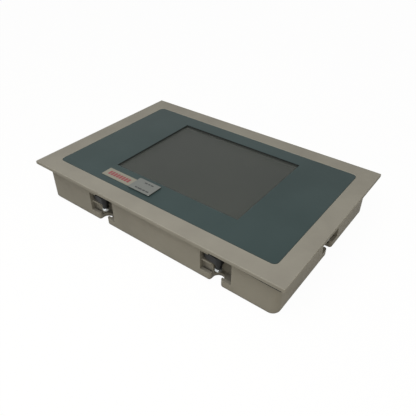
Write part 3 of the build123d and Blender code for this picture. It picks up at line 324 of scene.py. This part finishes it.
def liquidCrystalCell():
    # Unlit liquid crystal cell under its polariser: near black, a lighter sealed border round it,
    # and the faint rows of the colour filter, drawn six times as coarse as real so that they show.
    look = displayLook
    material, tree, shader, where = newMaterial(
        "liquidCrystalCell", Roughness=look["roughness"], IOR=1.5)
    low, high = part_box("display_bezel")
    inward = Vector((look["endBorderMm"] * mm, look["sideBorderMm"] * mm, 0))
    mask = insideMask(tree, where, low + inward, high - inward, look["softMm"] * mm)
    rows = addNode(tree, "TexWave", {
        "Vector": where, "Scale": bandsPerMm(look["rowMm"]),
    }, bands_direction="X")
    dark = blendTones(tree, rows.outputs["Fac"], look["active"], look["activePale"])
    tree.links.new(blendTones(tree, mask, look["border"], dark), shader.inputs["Base Color"])
    return material


platingLook = {
    "brightZincPlatedSteel": {"pale": "#D9DCDB", "deep": "#B4B8B7", "roughness": 0.28},
    "goldPlatedBronze": {"pale": "#E3C27A", "deep": "#C79F52", "roughness": 0.25},
    "nickelPlatedBrass": {"pale": "#CFC6AE", "deep": "#B2A88F", "roughness": 0.26},
    "crystalMm": 1.6, "lineMm": 0.5, "waver": (-0.06, 0.1), "relief": 0.15, "reliefMm": 0.03,
}


def platedMetal(name):
    # Turned or rolled metal with a bright plating: a soft crystalline mottle and the fine lines
    # that the tool left.
    look = platingLook
    plating = look[name]
    roughness = plating["roughness"]
    material, tree, shader, where = newMaterial(name, Roughness=roughness, Metallic=1.0)
    crystals = addNode(tree, "TexVoronoi", {"Vector": where, "Scale": perMm(look["crystalMm"])})
    lines = addNode(tree, "TexNoise", {
        "Vector": where, "Scale": perMm(look["lineMm"]), "Detail": 4.0,
    })
    colour = blendTones(tree, crystals.outputs["Color"], plating["deep"], plating["pale"])
    tree.links.new(colour, shader.inputs["Base Color"])
    gloss = [roughness + change for change in look["waver"]]
    grainFinish(tree, shader, lines.outputs["Fac"], look["relief"], look["reliefMm"], gloss)
    return material


sheetLook = {
    "tinnedSteelSheet": {"pale": "#C9C9C4", "deep": "#A9A9A3", "roughness": 0.3, "lineMm": 0.25},
    "zincPlatedSheet": {"pale": "#B9BBB7", "deep": "#9A9C98", "roughness": 0.36, "lineMm": 0.4},
    "satinFoil": {"pale": "#928E80", "deep": "#838073", "roughness": 0.45, "lineMm": 0.3},
    "satinAluminiumPlate": {"pale": "#7E807B", "deep": "#6E706C", "roughness": 0.42, "lineMm": 0.3},
    "extrudedAluminium": {"pale": "#C4C6C8", "deep": "#A3A5A8", "roughness": 0.36, "lineMm": 0.5},
    "stretch": (0.03, 1.0, 1.0), "waver": (-0.06, 0.1), "relief": 0.2, "reliefMm": 0.02,
}


def brushedSheet(name):
    # Rolled, brushed or drawn metal: straight fine lines along X, which stretch the reflections
    # across them.
    look = sheetLook
    sheet = look[name]
    roughness = sheet["roughness"]
    material, tree, shader, where = newMaterial(name, Roughness=roughness, Metallic=1.0)
    along = addNode(tree, "Mapping", {"Vector": where, "Scale": look["stretch"]}).outputs["Vector"]
    lines = addNode(tree, "TexNoise", {
        "Vector": along, "Scale": perMm(sheet["lineMm"]), "Detail": 5.0,
    })
    colour = blendTones(tree, lines.outputs["Fac"], sheet["deep"], sheet["pale"], midSpan)
    tree.links.new(colour, shader.inputs["Base Color"])
    gloss = [roughness + change for change in look["waver"]]
    grainFinish(tree, shader, lines.outputs["Fac"], look["relief"], look["reliefMm"], gloss)
    return material


leverLook = {
    "deep": "#101110", "pale": "#191A19", "lightEdge": "#4C4C49", "roughness": 0.5, "specular": 0.25,
    "grainMm": 0.5, "relief": 0.5, "reliefMm": 0.06,
    "scuffMm": 2.5, "edgeMm": 0.35, "patchSpan": (0.45, 0.65), "patchShare": (0.0, 0.6),
}


def blackenedZincCasting():
    # Die-cast zinc with a black passivation: dark, slightly oily, rubbed to grey metal on its
    # edges.
    look = leverLook
    material, tree, shader, where = newMaterial(
        "blackenedZincCasting", Roughness=look["roughness"], IOR=1.5,
        Specular_IOR_Level=look["specular"])
    grain = addNode(tree, "TexNoise", {
        "Vector": where, "Scale": perMm(look["grainMm"]), "Detail": 4.0,
    })
    scuff = addNode(tree, "TexNoise", {
        "Vector": where, "Scale": perMm(look["scuffMm"]), "Detail": 6.0,
    })
    skin = blendTones(tree, grain.outputs["Fac"], look["deep"], look["pale"], midSpan)
    lightEdge = edgeLightening(tree, look, scuff.outputs["Fac"])
    tree.links.new(blendTones(tree, lightEdge, skin, look["lightEdge"]), shader.inputs["Base Color"])
    grainFinish(tree, shader, grain.outputs["Fac"], look["relief"], look["reliefMm"])
    return material


plasticLook = {
    "mouldedBlackNylon": {"base": "#161716", "speck": "#222321", "roughness": 0.5},
    "mouldedGreenPolyamide": {"base": "#1F6B3A", "speck": "#267844", "roughness": 0.42},
    "mouldedWhitePolycarbonate": {"base": "#E2E2DC", "speck": "#D6D6CF", "roughness": 0.4},
    "grainMm": 0.4, "waver": (-0.06, 0.08), "relief": 0.3, "reliefMm": 0.04,
}


def mouldedPlastic(name):
    # Injection-moulded plastic with a spark-eroded grain: one even tone, a fine dull texture.
    look = plasticLook
    plastic = look[name]
    roughness = plastic["roughness"]
    material, tree, shader, where = newMaterial(name, Roughness=roughness, IOR=1.5)
    grain = addNode(tree, "TexNoise", {
        "Vector": where, "Scale": perMm(look["grainMm"]), "Detail": 3.0,
    })
    colour = blendTones(tree, grain.outputs["Fac"], plastic["base"], plastic["speck"], midSpan)
    tree.links.new(colour, shader.inputs["Base Color"])
    gloss = [roughness + change for change in look["waver"]]
    grainFinish(tree, shader, grain.outputs["Fac"], look["relief"], look["reliefMm"], gloss)
    return material


boardLook = {
    "mask": "#1D5A39", "maskDeep": "#174D30", "track": "#3C7A4F", "trackMm": 9, "trackShare": 0.03,
    "roughness": 0.35, "coat": 0.4, "weaveMm": 0.8, "relief": 0.3, "reliefMm": 0.04,
}


def solderMaskLaminate():
    # Glass-epoxy board under a green solder mask: glossy green, lighter where copper tracks run
    # below.
    look = boardLook
    material, tree, shader, where = newMaterial(
        "solderMaskLaminate", Roughness=look["roughness"], IOR=1.5, Coat_Weight=look["coat"])
    tracks = addNode(tree, "TexBrick", {
        "Vector": where, "Scale": perMm(look["trackMm"]), "Mortar Size": look["trackShare"],
        "Color1": look["mask"], "Color2": look["maskDeep"], "Mortar": look["track"],
    })
    weave = addNode(tree, "TexNoise", {
        "Vector": where, "Scale": perMm(look["weaveMm"]), "Detail": 2.0,
    })
    tree.links.new(tracks.outputs["Color"], shader.inputs["Base Color"])
    grainFinish(tree, shader, weave.outputs["Fac"], look["relief"], look["reliefMm"])
    return material


flexLook = {"deep": "#8A4E16", "pale": "#B5762B", "wireMm": 1.972, "roughness": 0.3}


def polyimideFlex():
    # Flat cable of polyimide film: amber and smooth, with the copper wires seen through it, drawn
    # twice as coarse as real so that they show.
    look = flexLook
    material, tree, shader, where = newMaterial(
        "polyimideFlex", Roughness=look["roughness"], IOR=1.7)
    wires = addNode(tree, "TexWave", {
        "Vector": where, "Scale": bandsPerMm(look["wireMm"]),
    }, bands_direction="DIAGONAL")
    colour = blendTones(tree, wires.outputs["Fac"], look["deep"], look["pale"])
    tree.links.new(colour, shader.inputs["Base Color"])
    return material


inkLook = {
    "darkScreenInk": {"full": "#30312F", "thin": "#5A5B58"},
    "redScreenInk": {"full": "#80393C", "thin": "#8C5153"},
    "spotMm": 0.3, "spotSpan": (0.45, 0.75), "roughness": 0.5, "specular": 0.25,
}


def screenInk(name):
    # Screen-printed ink: a thin, slightly starved film of paint that lets the metal's grain
    # through.
    look = inkLook
    ink = look[name]
    material, tree, shader, where = newMaterial(
        name, Roughness=look["roughness"], IOR=1.5, Specular_IOR_Level=look["specular"])
    spots = addNode(tree, "TexNoise", {
        "Vector": where, "Scale": perMm(look["spotMm"]), "Detail": 4.0,
    })
    colour = blendTones(tree, spots.outputs["Fac"], ink["full"], ink["thin"], look["spotSpan"])
    tree.links.new(colour, shader.inputs["Base Color"])
    return material


paint = wetPaintOnCastAluminium()
film = printedPolyester()
foam = foamRubber("closedCellFoam")
sealSheet = foamRubber("blackSealSheet")
touchGlass = etchedTouchGlass()
displayCell = liquidCrystalCell()
zinc = platedMetal("brightZincPlatedSteel")
gold = platedMetal("goldPlatedBronze")
nickel = platedMetal("nickelPlatedBrass")
socketTin = brushedSheet("tinnedSteelSheet")
plateSteel = brushedSheet("zincPlatedSheet")
stripFoil = brushedSheet("satinFoil")
tagMetal = brushedSheet("satinAluminiumPlate")
sinkMetal = brushedSheet("extrudedAluminium")
leverBlack = blackenedZincCasting()
blackPlastic = mouldedPlastic("mouldedBlackNylon")
greenPlastic = mouldedPlastic("mouldedGreenPolyamide")
whitePlastic = mouldedPlastic("mouldedWhitePolycarbonate")
laminate = solderMaskLaminate()
flex = polyimideFlex()
darkInk = screenInk("darkScreenInk")
redInk = screenInk("redScreenInk")
print("materials made")

finishOf = {
    "front_frame": paint, "rear_housing": paint, "rear_cover": paint,
    "front_film": film, "window_seal": sealSheet, "touch_screen": touchGlass,
    "display_gasket": foam, "display_bezel": plateSteel, "display_cell": displayCell,
    "display_backlight": whitePlastic, "flange_seal": foam, "name_strip": stripFoil,
    "tag_pad": foam, "tag_plate": tagMetal, "clamp_studs": zinc, "housing_screws": zinc,
    "cover_screws": zinc, "frame_standoffs": nickel, "display_bracket": plateSteel,
    "bracket_screws": zinc, "display_screws": zinc, "connector_plate": plateSteel,
    "plate_screws": zinc, "lan_sockets": socketTin, "usb_sockets": socketTin,
    "power_socket": greenPlastic, "serial_socket": socketTin, "serial_locks": nickel,
    "earth_terminal": nickel, "main_board": laminate, "board_spacers": nickel,
    "board_screws": zinc, "heat_sink": sinkMetal, "memory_socket": blackPlastic,
    "memory_module": laminate, "card_slot": blackPlastic, "memory_card": blackPlastic,
    "battery_holder": blackPlastic, "coin_cell": zinc, "backlight_inverter": laminate,
    "touch_tail": flex, "display_ribbon": flex,
}
clampTurns = {1: 0, 2: 0, 3: 90, 4: 180, 5: 180, 6: 270}  # how far each clamp's pocket is turned


def dressNodes():
    for number in clampTurns:
        finishOf[f"clamp_nut_{number}"] = zinc
        finishOf[f"clamp_bush_{number}"] = leverBlack
        finishOf[f"clamp_lever_{number}"] = leverBlack
    for name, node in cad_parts.items():
        if not node.material_slots:
            node.data.materials.append(finishOf[name])
        for held in node.material_slots:
            held.material = finishOf[name]


dressNodes()
print("finishes on", len(finishOf), "nodes")


# Helpers for meshes

sharpDegrees = 32


def objectFrom(mesh, name, material):
    # an object from a bmesh: normals out, smooth faces with sharp edges, riding on the fixed body
    bmesh.ops.recalc_face_normals(mesh, faces=mesh.faces)
    data = bpy.data.meshes.new(name)
    mesh.to_mesh(data)
    mesh.free()
    data.shade_smooth()
    data.set_sharp_from_angle(angle=math.radians(sharpDegrees))
    data.materials.append(material)
    piece = bpy.data.objects.new(name, data)
    bpy.context.scene.collection.objects.link(piece)
    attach(piece, "root")
    return piece


def skinRows(mesh, rows):
    # faces between closed rows of points, with a cap at each end
    for low, high in zip(rows, rows[1:]):
        for step in range(len(low)):
            after = (step + 1) % len(low)
            mesh.faces.new((low[step], low[after], high[after], high[step]))
    mesh.faces.new(rows[0])
    mesh.faces.new(rows[-1])


def turnProfile(mesh, centre, rings, segments):
    # rings are (radius or function of the angle, height) round an upright axis
    rows = []
    for radius, height in rings:
        row = []
        for step in range(segments):
            angle = 2 * math.pi * step / segments
            reach = radius(angle) if callable(radius) else radius
            x = centre[0] + reach * math.cos(angle)
            y = centre[1] + reach * math.sin(angle)
            row.append(mesh.verts.new((x, y, height)))
        rows.append(row)
    skinRows(mesh, rows)


def crossRadius(arm, reach):
    # outline of a cross recess with arms this wide and long, as a function of the angle
    def radius(angle):
        side = abs(math.sin(angle))
        front = abs(math.cos(angle))
        big, small = max(side, front), min(side, front)
        return min(reach / big, arm / 2 / max(small, tiny))
    return radius


def boxSolid(mesh, low, high):
    made = bmesh.ops.create_cube(mesh, size=1.0)
    for vert in made["verts"]:
        vert.co = Vector([low[axis] if vert.co[axis] < 0 else high[axis] for axis in range(3)])


def middleOf(node):
    low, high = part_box(node)
    return (low + high) / 2


def solidsOf(node):
    # the boxes of a node's separate solids, found by walking its joined faces
    mesh = bmesh.new()
    mesh.from_mesh(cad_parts[node].data)
    bmesh.ops.remove_doubles(mesh, verts=mesh.verts, dist=tiny)
    left = set(mesh.verts)
    boxes = []
    while left:
        group = [left.pop()]
        low, high = group[0].co.copy(), group[0].co.copy()
        while group:
            vert = group.pop()
            low = Vector(map(min, low, vert.co))
            high = Vector(map(max, high, vert.co))
            for edge in vert.link_edges:
                other = edge.other_vert(vert)
                if other in left:
                    left.discard(other)
                    group.append(other)
        boxes.append((low, high))
    mesh.free()
    return sorted(boxes, key=lambda box: (round(box[0].x, 4), round(box[0].y, 4)))


def rounded(x0, y0, x1, y1, radius, steps=4):
    # outline of a box with round corners, as points
    points = []
    for cx, cy, start in ((x1 - radius, y1 - radius, 0), (x0 + radius, y1 - radius, 90),
                          (x0 + radius, y0 + radius, 180), (x1 - radius, y0 + radius, 270)):
        for step in range(steps + 1):
            angle = math.radians(start + 90 * step / steps)
            points.append((cx + radius * math.cos(angle), cy + radius * math.sin(angle)))
    return points


def roundCorners(corners, radius, steps=5):
    # the corner points of any outline swapped for short arcs
    points = []
    count = len(corners)
    for index in range(count):
        corner = Vector(corners[index])
        before = (Vector(corners[index - 1]) - corner).normalized()
        after = (Vector(corners[(index + 1) % count]) - corner).normalized()
        halfAngle = before.angle(after) / 2
        away = radius / math.tan(halfAngle)
        middle = corner + (before + after).normalized() * (radius / math.sin(halfAngle))
        start = corner + before * away - middle
        end = corner + after * away - middle
        for step in range(steps + 1):
            points.append(tuple(middle + start.lerp(end, step / steps).normalized() * radius))
    return points


def circle(x, y, radius, steps=16):
    angles = [2 * math.pi * step / steps for step in range(steps)]
    return [(x + radius * math.cos(angle), y + radius * math.sin(angle)) for angle in angles]


def flatPlate(name, outlines, z, thickness, material):
    # a plate from closed outlines; an outline inside another is a hole
    curve = bpy.data.curves.new(name, "CURVE")
    curve.dimensions = "2D"
    curve.fill_mode = "BOTH"
    curve.extrude = thickness / 2
    for outline in outlines:
        spline = curve.splines.new("POLY")
        spline.points.add(len(outline) - 1)
        for point, (x, y) in zip(spline.points, outline):
            point.co = (x, y, 0, 1)
        spline.use_cyclic_u = True
    holder = bpy.data.objects.new(name + "Outline", curve)
    data = bpy.data.meshes.new_from_object(holder)
    mesh = bmesh.new()
    mesh.from_mesh(data)
    bmesh.ops.remove_doubles(mesh, verts=mesh.verts, dist=tiny)
    bmesh.ops.translate(mesh, verts=mesh.verts, vec=(0, 0, z + thickness / 2))
    bpy.data.objects.remove(holder)
    bpy.data.meshes.remove(data)
    bpy.data.curves.remove(curve)
    return objectFrom(mesh, name, material)


# Clamp studs: the same rods with a real metric thread, root and crest on a helix

threadLook = {
    "crest": 1.5, "root": 1.24, "pitch": 0.5, "segments": 18, "bevel": 0.4, "bevelSlope": 0.6,
    "shape": (("root", 0.0), ("crest", 0.4), ("crest", 0.55), ("root", 0.95)),  # shares of a turn
}


def makeThreadedStud(mesh, centre, low, high):
    pitch = threadLook["pitch"] * mm
    root = threadLook["root"] * mm
    bevel = threadLook["bevel"] * mm
    segments = threadLook["segments"]
    turns = int((high - low) / pitch) + 2
    rows = []
    for turn in range(-1, turns):
        for part, share in threadLook["shape"]:
            radius = threadLook[part] * mm
            row = []
            for step in range(segments):
                angle = 2 * math.pi * step / segments
                height = low + pitch * (turn + share + step / segments)
                inner = min(height - low, high - height)
                bevelled = min(radius, root + max(inner, 0.0) * threadLook["bevelSlope"])
                reach = radius if inner > bevel else bevelled
                height = min(max(height, low), high)
                x = centre.x + reach * math.cos(angle)
                y = centre.y + reach * math.sin(angle)
                row.append(mesh.verts.new((x, y, height)))
            rows.append(row)
    lead = len(threadLook["shape"])
    for index, (row, above) in enumerate(zip(rows, rows[1:])):
        for step in range(segments - 1):
            mesh.faces.new((row[step], row[step + 1], above[step + 1], above[step]))
        if index + 1 + lead < len(rows):
            seam, seamAbove = rows[index + lead], rows[index + 1 + lead]
            mesh.faces.new((row[-1], seam[0], seamAbove[0], above[-1]))


def makeStuds():
    low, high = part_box("clamp_studs")
    mesh = bmesh.new()
    for number in clampTurns:
        makeThreadedStud(mesh, middleOf(f"clamp_bush_{number}"), low.z, high.z)
    bmesh.ops.remove_doubles(mesh, verts=mesh.verts, dist=tiny)
    bmesh.ops.dissolve_degenerate(mesh, edges=mesh.edges, dist=tiny)
    loose = [vert for vert in mesh.verts if not vert.link_faces]
    bmesh.ops.delete(mesh, geom=loose, context="VERTS")
    rim = [edge for edge in mesh.edges if edge.is_boundary]
    bmesh.ops.holes_fill(mesh, edges=rim)
    piece = objectFrom(mesh, "threadedStuds", zinc)
    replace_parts(piece, "clamp_studs")


makeStuds()
print("threaded studs made")


# Countersunk screws on the back, with their cross recess

screwLook = {
    "shankRadius": 1.45, "crossArm": 0.85, "crossReach": 1.5, "crossDepth": 1.1, "segments": 48,
    "rimWidth": 0.15, "rimDrop": 0.08,
    "floorArm": 0.6, "floorReach": 0.55,  # shares of the cross at the recess's floor
    "tipHeight": 0.3, "tipRadius": 0.7,  # shares of the shank's radius
    "headHeights": {"longScrews": 1.6, "coverScrews": 1.3},
}


def makeCountersunk(mesh, x, y, face, headRadius, headHeight, end):
    shank = screwLook["shankRadius"] * mm
    arm = screwLook["crossArm"] * mm
    reach = screwLook["crossReach"] * mm
    rings = [
        (crossRadius(arm * screwLook["floorArm"], reach * screwLook["floorReach"]),
         face + screwLook["crossDepth"] * mm),
        (crossRadius(arm, reach), face),
        (headRadius - screwLook["rimWidth"] * mm, face),
        (headRadius, face + screwLook["rimDrop"] * mm),
        (shank, face + headHeight),
        (shank, end - shank * screwLook["tipHeight"]),
        (shank * screwLook["tipRadius"], end),
    ]
    turnProfile(mesh, (x, y), rings, screwLook["segments"])


def makeBackScrews(node, name):
    mesh = bmesh.new()
    headHeight = screwLook["headHeights"][name] * mm
    for low, high in solidsOf(node):
        middle = (low + high) / 2
        makeCountersunk(mesh, middle.x, middle.y, low.z, (high.x - low.x) / 2, headHeight, high.z)
    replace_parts(objectFrom(mesh, name, zinc), node)


makeBackScrews("housing_screws", "longScrews")
makeBackScrews("cover_screws", "coverScrews")
print("back screws made")


# Marks on the small plate and the strip: plain dashes and a row of plain red blocks

markLook = {
    "inkThickness": 0.02,
    "barLeft": 4.4,
    "barRight": 2.6,
    "barSide": 3.2,
    "barGap": 0.9,
    "barBlocks": 8,
    "barCorner": 0.4,
    "dashHeight": 1.5,
    "dashSpacing": 0.7,
    "dashCorner": 0.3,
    "dashRows": (
        {"start": 0.36, "level": 0.72, "widths": (3.4, 2.2, 3.0)},
        {"start": 0.24, "level": 0.15, "widths": (2.4, 4.6, 3.0, 3.2)},
    ),
}


def makeStripBar():
    low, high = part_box("name_strip")
    left = low.x + markLook["barLeft"] * mm
    right = high.x - markLook["barRight"] * mm
    bottom = low.y + markLook["barSide"] * mm
    top = high.y - markLook["barSide"] * mm
    pitch = (right - left) / markLook["barBlocks"]
    length = pitch - markLook["barGap"] * mm
    blocks = []
    for index in range(markLook["barBlocks"]):
        start = left + index * pitch
        blocks.append(rounded(start, bottom, start + length, top, markLook["barCorner"] * mm))
    flatPlate("stripBar", blocks, high.z, markLook["inkThickness"] * mm, redInk)


def makeTagDashes():
    low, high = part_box("tag_plate")
    height = markLook["dashHeight"] * mm
    dashes = []
    for row in markLook["dashRows"]:
        x = low.x + (high.x - low.x) * row["start"]
        y = low.y + (high.y - low.y) * row["level"]
        for width in row["widths"]:
            dashes.append(rounded(x, y, x + width * mm, y + height, markLook["dashCorner"] * mm))
            x += (width + markLook["dashSpacing"]) * mm
    flatPlate("tagDashes", dashes, high.z, markLook["inkThickness"] * mm, darkInk)


makeStripBar()
makeTagDashes()
print("printed marks made")


# Foam seal under the flange: cut by hand from a strip, so its outer edge wanders and shows at one
# corner

foamLook = {
    "inset": 0.95, "leastInset": 0.1, "wander": 0.35, "wanderMm": 22, "cornerDraw": 0.85,
    "cornerMm": 30, "stepMm": 3, "band": 6.0, "holeCorner": 1.0,
}


def foamInset(x, y, corner):
    # how far the foam's edge stays inside the flange at this point of its edge
    wander = foamLook["wander"] * noise.noise(Vector((x, y, 0)) / (foamLook["wanderMm"] * mm))
    near = (Vector((x, y, 0)) - corner).length / (foamLook["cornerMm"] * mm)
    onLongSide = abs(y - corner.y) < foamLook["stepMm"] / 2 * mm
    drawn = foamLook["cornerDraw"] * math.exp(-near * near) if onLongSide else 0.0
    return max(foamLook["inset"] + wander - drawn, foamLook["leastInset"]) * mm


def makeFlangeFoam():
    sealLow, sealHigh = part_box("flange_seal")
    low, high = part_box("front_frame")
    corner = Vector((high.x, low.y, 0))
    outline = []
    for start, end, inward in (
        ((low.x, low.y), (high.x, low.y), (0, 1)), ((high.x, low.y), (high.x, high.y), (-1, 0)),
        ((high.x, high.y), (low.x, high.y), (0, -1)), ((low.x, high.y), (low.x, low.y), (1, 0)),
    ):
        start, end, inward = Vector(start), Vector(end), Vector(inward)
        count = round((end - start).length / (foamLook["stepMm"] * mm))
        for step in range(1, count):
            point = start.lerp(end, step / count)
            outline.append(tuple(point + inward * foamInset(point.x, point.y, corner)))
    band = foamLook["band"] * mm
    hole = rounded(
        low.x + band, low.y + band, high.x - band, high.y - band, foamLook["holeCorner"] * mm)
    piece = flatPlate(
        "flangeFoam", [outline, hole], sealLow.z, sealHigh.z - sealLow.z, foam)
    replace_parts(piece, "flange_seal")


makeFlangeFoam()
print("flange foam made")


# Lintels: the lower strip of wall over each folded lever's tip, from the lever's own axis

lintelLook = {
    "start": -14.7, "length": 7.8, "outer": -4.6, "thickness": 1.2, "low": 27.0, "high": 29.6,
    "bevel": 0.25,
}


def makeLintels():
    mesh = bmesh.new()
    low = Vector((lintelLook["start"], lintelLook["outer"], lintelLook["low"])) * mm
    high = low + Vector((lintelLook["length"], lintelLook["thickness"], 0)) * mm
    high.z = lintelLook["high"] * mm
    middle = (low.z + high.z) / 2
    for number, degrees in clampTurns.items():
        pivot = middleOf(f"clamp_bush_{number}")
        bar = bmesh.new()
        boxSolid(bar, low, high)
        lower = [edge for edge in bar.edges if all(vert.co.z < middle for vert in edge.verts)]
        bmesh.ops.bevel(
            bar, geom=lower, offset=lintelLook["bevel"] * mm, segments=2, affect="EDGES")
        turn = Euler((0, 0, math.radians(degrees))).to_matrix()
        bmesh.ops.rotate(bar, verts=bar.verts, matrix=turn)
        bmesh.ops.translate(bar, verts=bar.verts, vec=(pivot.x, pivot.y, 0))
        joined = bpy.data.meshes.new("lintelBar")
        bar.to_mesh(joined)
        bar.free()
        mesh.from_mesh(joined)
        bpy.data.meshes.remove(joined)
    objectFrom(mesh, "pocketLintels", paint)


makeLintels()
print("pocket lintels made")


# Connector detail: serial insert with its nine holes, network and data contacts, supply pins

serialLook = {
    "insertLength": 15.6, "insertWidth": 7.0, "taperDegrees": 10, "corner": 1.4,
    "pinPitch": 2.77, "rowPitch": 2.84, "holeRadius": 0.6, "thickness": 0.12,
    "rows": ((5, -1), (4, 1)),  # holes in the row, and which side of the middle
}


def makeSerialInsert():
    low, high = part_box("serial_socket")
    centre = Vector((low.x + high.x, low.y + high.y, 0)) / 2
    half = serialLook["insertLength"] / 2 * mm
    tall = serialLook["insertWidth"] / 2 * mm
    lean = 2 * tall * math.tan(math.radians(serialLook["taperDegrees"]))
    corners = [(-half, -tall), (half, -tall), (half - lean, tall), (-half + lean, tall)]
    outline = roundCorners(corners, serialLook["corner"] * mm)
    outlines = [[(centre.x + x, centre.y + y) for x, y in outline]]
    for count, side in serialLook["rows"]:
        y = centre.y + side * serialLook["rowPitch"] / 2 * mm
        for index in range(count):
            x = centre.x + (index - (count - 1) / 2) * serialLook["pinPitch"] * mm
            outlines.append(circle(x, y, serialLook["holeRadius"] * mm))
    depth = serialLook["thickness"] * mm
    flatPlate("serialInsert", outlines, low.z - depth, depth, blackPlastic)


networkLook = {
    "wires": 8, "pitch": 1.02, "radius": 0.19, "flatness": 0.6, "sides": 8,
    "path": ((2.9, 10.6), (1.7, 7.6), (3.5, 5.4)),  # up from the mouth's middle, in from its face
}


def makeNetworkContacts():
    # eight sprung wires in each mouth, slanting from the comb towards the plug
    ring = circle(0, 0, networkLook["radius"] * mm, networkLook["sides"])
    mesh = bmesh.new()
    for low, high in solidsOf("lan_sockets"):
        middle = (low + high) / 2
        for index in range(networkLook["wires"]):
            x = middle.x + (index - (networkLook["wires"] - 1) / 2) * networkLook["pitch"] * mm
            rows = []
            for up, inward in networkLook["path"]:
                y, z = middle.y + up * mm, low.z + inward * mm
                rows.append([
                    mesh.verts.new((x + across, y + rise * networkLook["flatness"], z))
                    for across, rise in ring
                ])
            skinRows(mesh, rows)
    objectFrom(mesh, "networkContacts", gold)


dataLook = {
    "strips": 4, "pitch": 2.3, "width": 1.0, "tongueDrop": 3.25, "sunk": 0.12, "proud": 0.05,
    "start": 1.4, "end": 8.6, "bevel": 0.04,
}


def makeDataContacts():
    # flat strips along the tongue of each socket
    half = dataLook["width"] / 2 * mm
    mesh = bmesh.new()
    for low, high in solidsOf("usb_sockets"):
        middle = (low + high) / 2
        tongueTop = high.y - dataLook["tongueDrop"] * mm
        for index in range(dataLook["strips"]):
            x = middle.x + (index - (dataLook["strips"] - 1) / 2) * dataLook["pitch"] * mm
            boxSolid(mesh,
                     (x - half, tongueTop - dataLook["sunk"] * mm, low.z + dataLook["start"] * mm),
                     (x + half, tongueTop + dataLook["proud"] * mm, low.z + dataLook["end"] * mm))
    bmesh.ops.bevel(
        mesh, geom=mesh.edges[:], offset=dataLook["bevel"] * mm, segments=1, affect="EDGES")
    objectFrom(mesh, "dataContacts", gold)


supplyLook = {"pins": 4, "pitch": 3.81, "side": 1.1, "lift": 1.0, "length": 7.4, "bevel": 0.15}


def makeSupplyPins():
    low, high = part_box("power_socket")
    centre = (low + high) / 2
    half = supplyLook["side"] / 2 * mm
    start = low.z + supplyLook["lift"] * mm
    end = start + supplyLook["length"] * mm
    mesh = bmesh.new()
    for index in range(supplyLook["pins"]):
        x = centre.x + (index - (supplyLook["pins"] - 1) / 2) * supplyLook["pitch"] * mm
        boxSolid(mesh, (x - half, centre.y - half, start), (x + half, centre.y + half, end))
    bmesh.ops.bevel(
        mesh, geom=mesh.edges[:], offset=supplyLook["bevel"] * mm, segments=2, affect="EDGES")
    objectFrom(mesh, "supplyPins", zinc)


makeSerialInsert()
makeNetworkContacts()
makeDataContacts()
makeSupplyPins()
print("connector detail made")


# Floor, background and light

stageLook = {
    "floorSize": 6.0, "floorDrop": 0.2, "floorTone": "#ACA89D", "floorPale": "#B0ACA1",
    "paperMm": 2.0, "shadowShare": 0.07, "whiteLevel": 1.04, "worldLevel": 0.42,
}


def seenDirectly(tree):
    # 1 for rays from the camera and for those mirrored or passed on by the object
    rays = addNode(tree, "LightPath").outputs
    either = addNode(tree, "Math", {
        0: rays["Is Camera Ray"], 1: rays["Is Glossy Ray"],
    }, operation="MAXIMUM")
    passed = addNode(tree, "Math", {
        0: either.outputs[0], 1: rays["Is Transmission Ray"],
    }, operation="MAXIMUM")
    return passed.outputs[0]


def studioPaper():
    # Matt studio paper: white to the camera and in reflections, apart from the share that keeps a
    # soft shadow.
    look = stageLook
    material, tree, shader, where = newMaterial("studioPaper", Roughness=0.9, IOR=1.4)
    grain = addNode(tree, "TexNoise", {
        "Vector": where, "Scale": perMm(look["paperMm"]), "Detail": 3.0,
    })
    colour = blendTones(tree, grain.outputs["Fac"], look["floorTone"], look["floorPale"])
    tree.links.new(colour, shader.inputs["Base Color"])
    keep = addNode(tree, "Math", {
        0: seenDirectly(tree), 1: 1 - look["shadowShare"],
    }, operation="MULTIPLY")
    white = addNode(tree, "Emission", {"Color": (1, 1, 1, 1), "Strength": look["whiteLevel"]})
    mix = addNode(tree, "MixShader", {
        0: keep.outputs[0], 1: shader.outputs["BSDF"], 2: white.outputs["Emission"],
    })
    tree.links.new(mix.outputs["Shader"], tree.nodes["Material Output"].inputs["Surface"])
    return material


def makeFloor():
    mesh = bmesh.new()
    bmesh.ops.create_grid(mesh, x_segments=1, y_segments=1, size=stageLook["floorSize"] / 2)
    data = bpy.data.meshes.new("studioFloor")
    mesh.to_mesh(data)
    mesh.free()
    data.materials.append(studioPaper())
    floor = bpy.data.objects.new("studioFloor", data)
    floor.location.z = -stageLook["floorDrop"] * mm
    bpy.context.scene.collection.objects.link(floor)


def makeSky():
    world = bpy.data.worlds.new("studioSky")
    world.use_nodes = True
    bpy.context.scene.world = world
    tree = world.node_tree
    background = tree.nodes["Background"]
    background.inputs["Color"].default_value = (1, 1, 1, 1)
    level = addNode(tree, "MapRange", {
        "Value": seenDirectly(tree), "To Min": stageLook["worldLevel"], "To Max": 1.0,
    })
    tree.links.new(level.outputs["Result"], background.inputs["Strength"])


lampLook = {
    "key": {"place": (0.02, -0.25, 0.46), "size": 0.4, "watts": 1.95, "colour": "#F4F7FF"},
    "corner": {"place": (0.5, -0.45, 0.28), "size": 0.3, "watts": 0.75, "colour": "#FFF9F0"},
}


def makeLamps():
    # square softboxes that face the middle of the part
    for name, look in lampLook.items():
        data = bpy.data.lights.new(name + "Softbox", "AREA")
        data.shape = "SQUARE"
        data.size = look["size"]
        data.energy = look["watts"]
        data.color = toneOf(look["colour"])[:3]
        lamp = bpy.data.objects.new(name + "Softbox", data)
        lamp.location = look["place"]
        lamp.rotation_euler = (-Vector(look["place"])).to_track_quat("-Z", "Y").to_euler()
        bpy.context.scene.collection.objects.link(lamp)


makeFloor()
makeSky()
makeLamps()
bpy.context.scene.view_settings.view_transform = "Standard"
print("stage and lamps set")
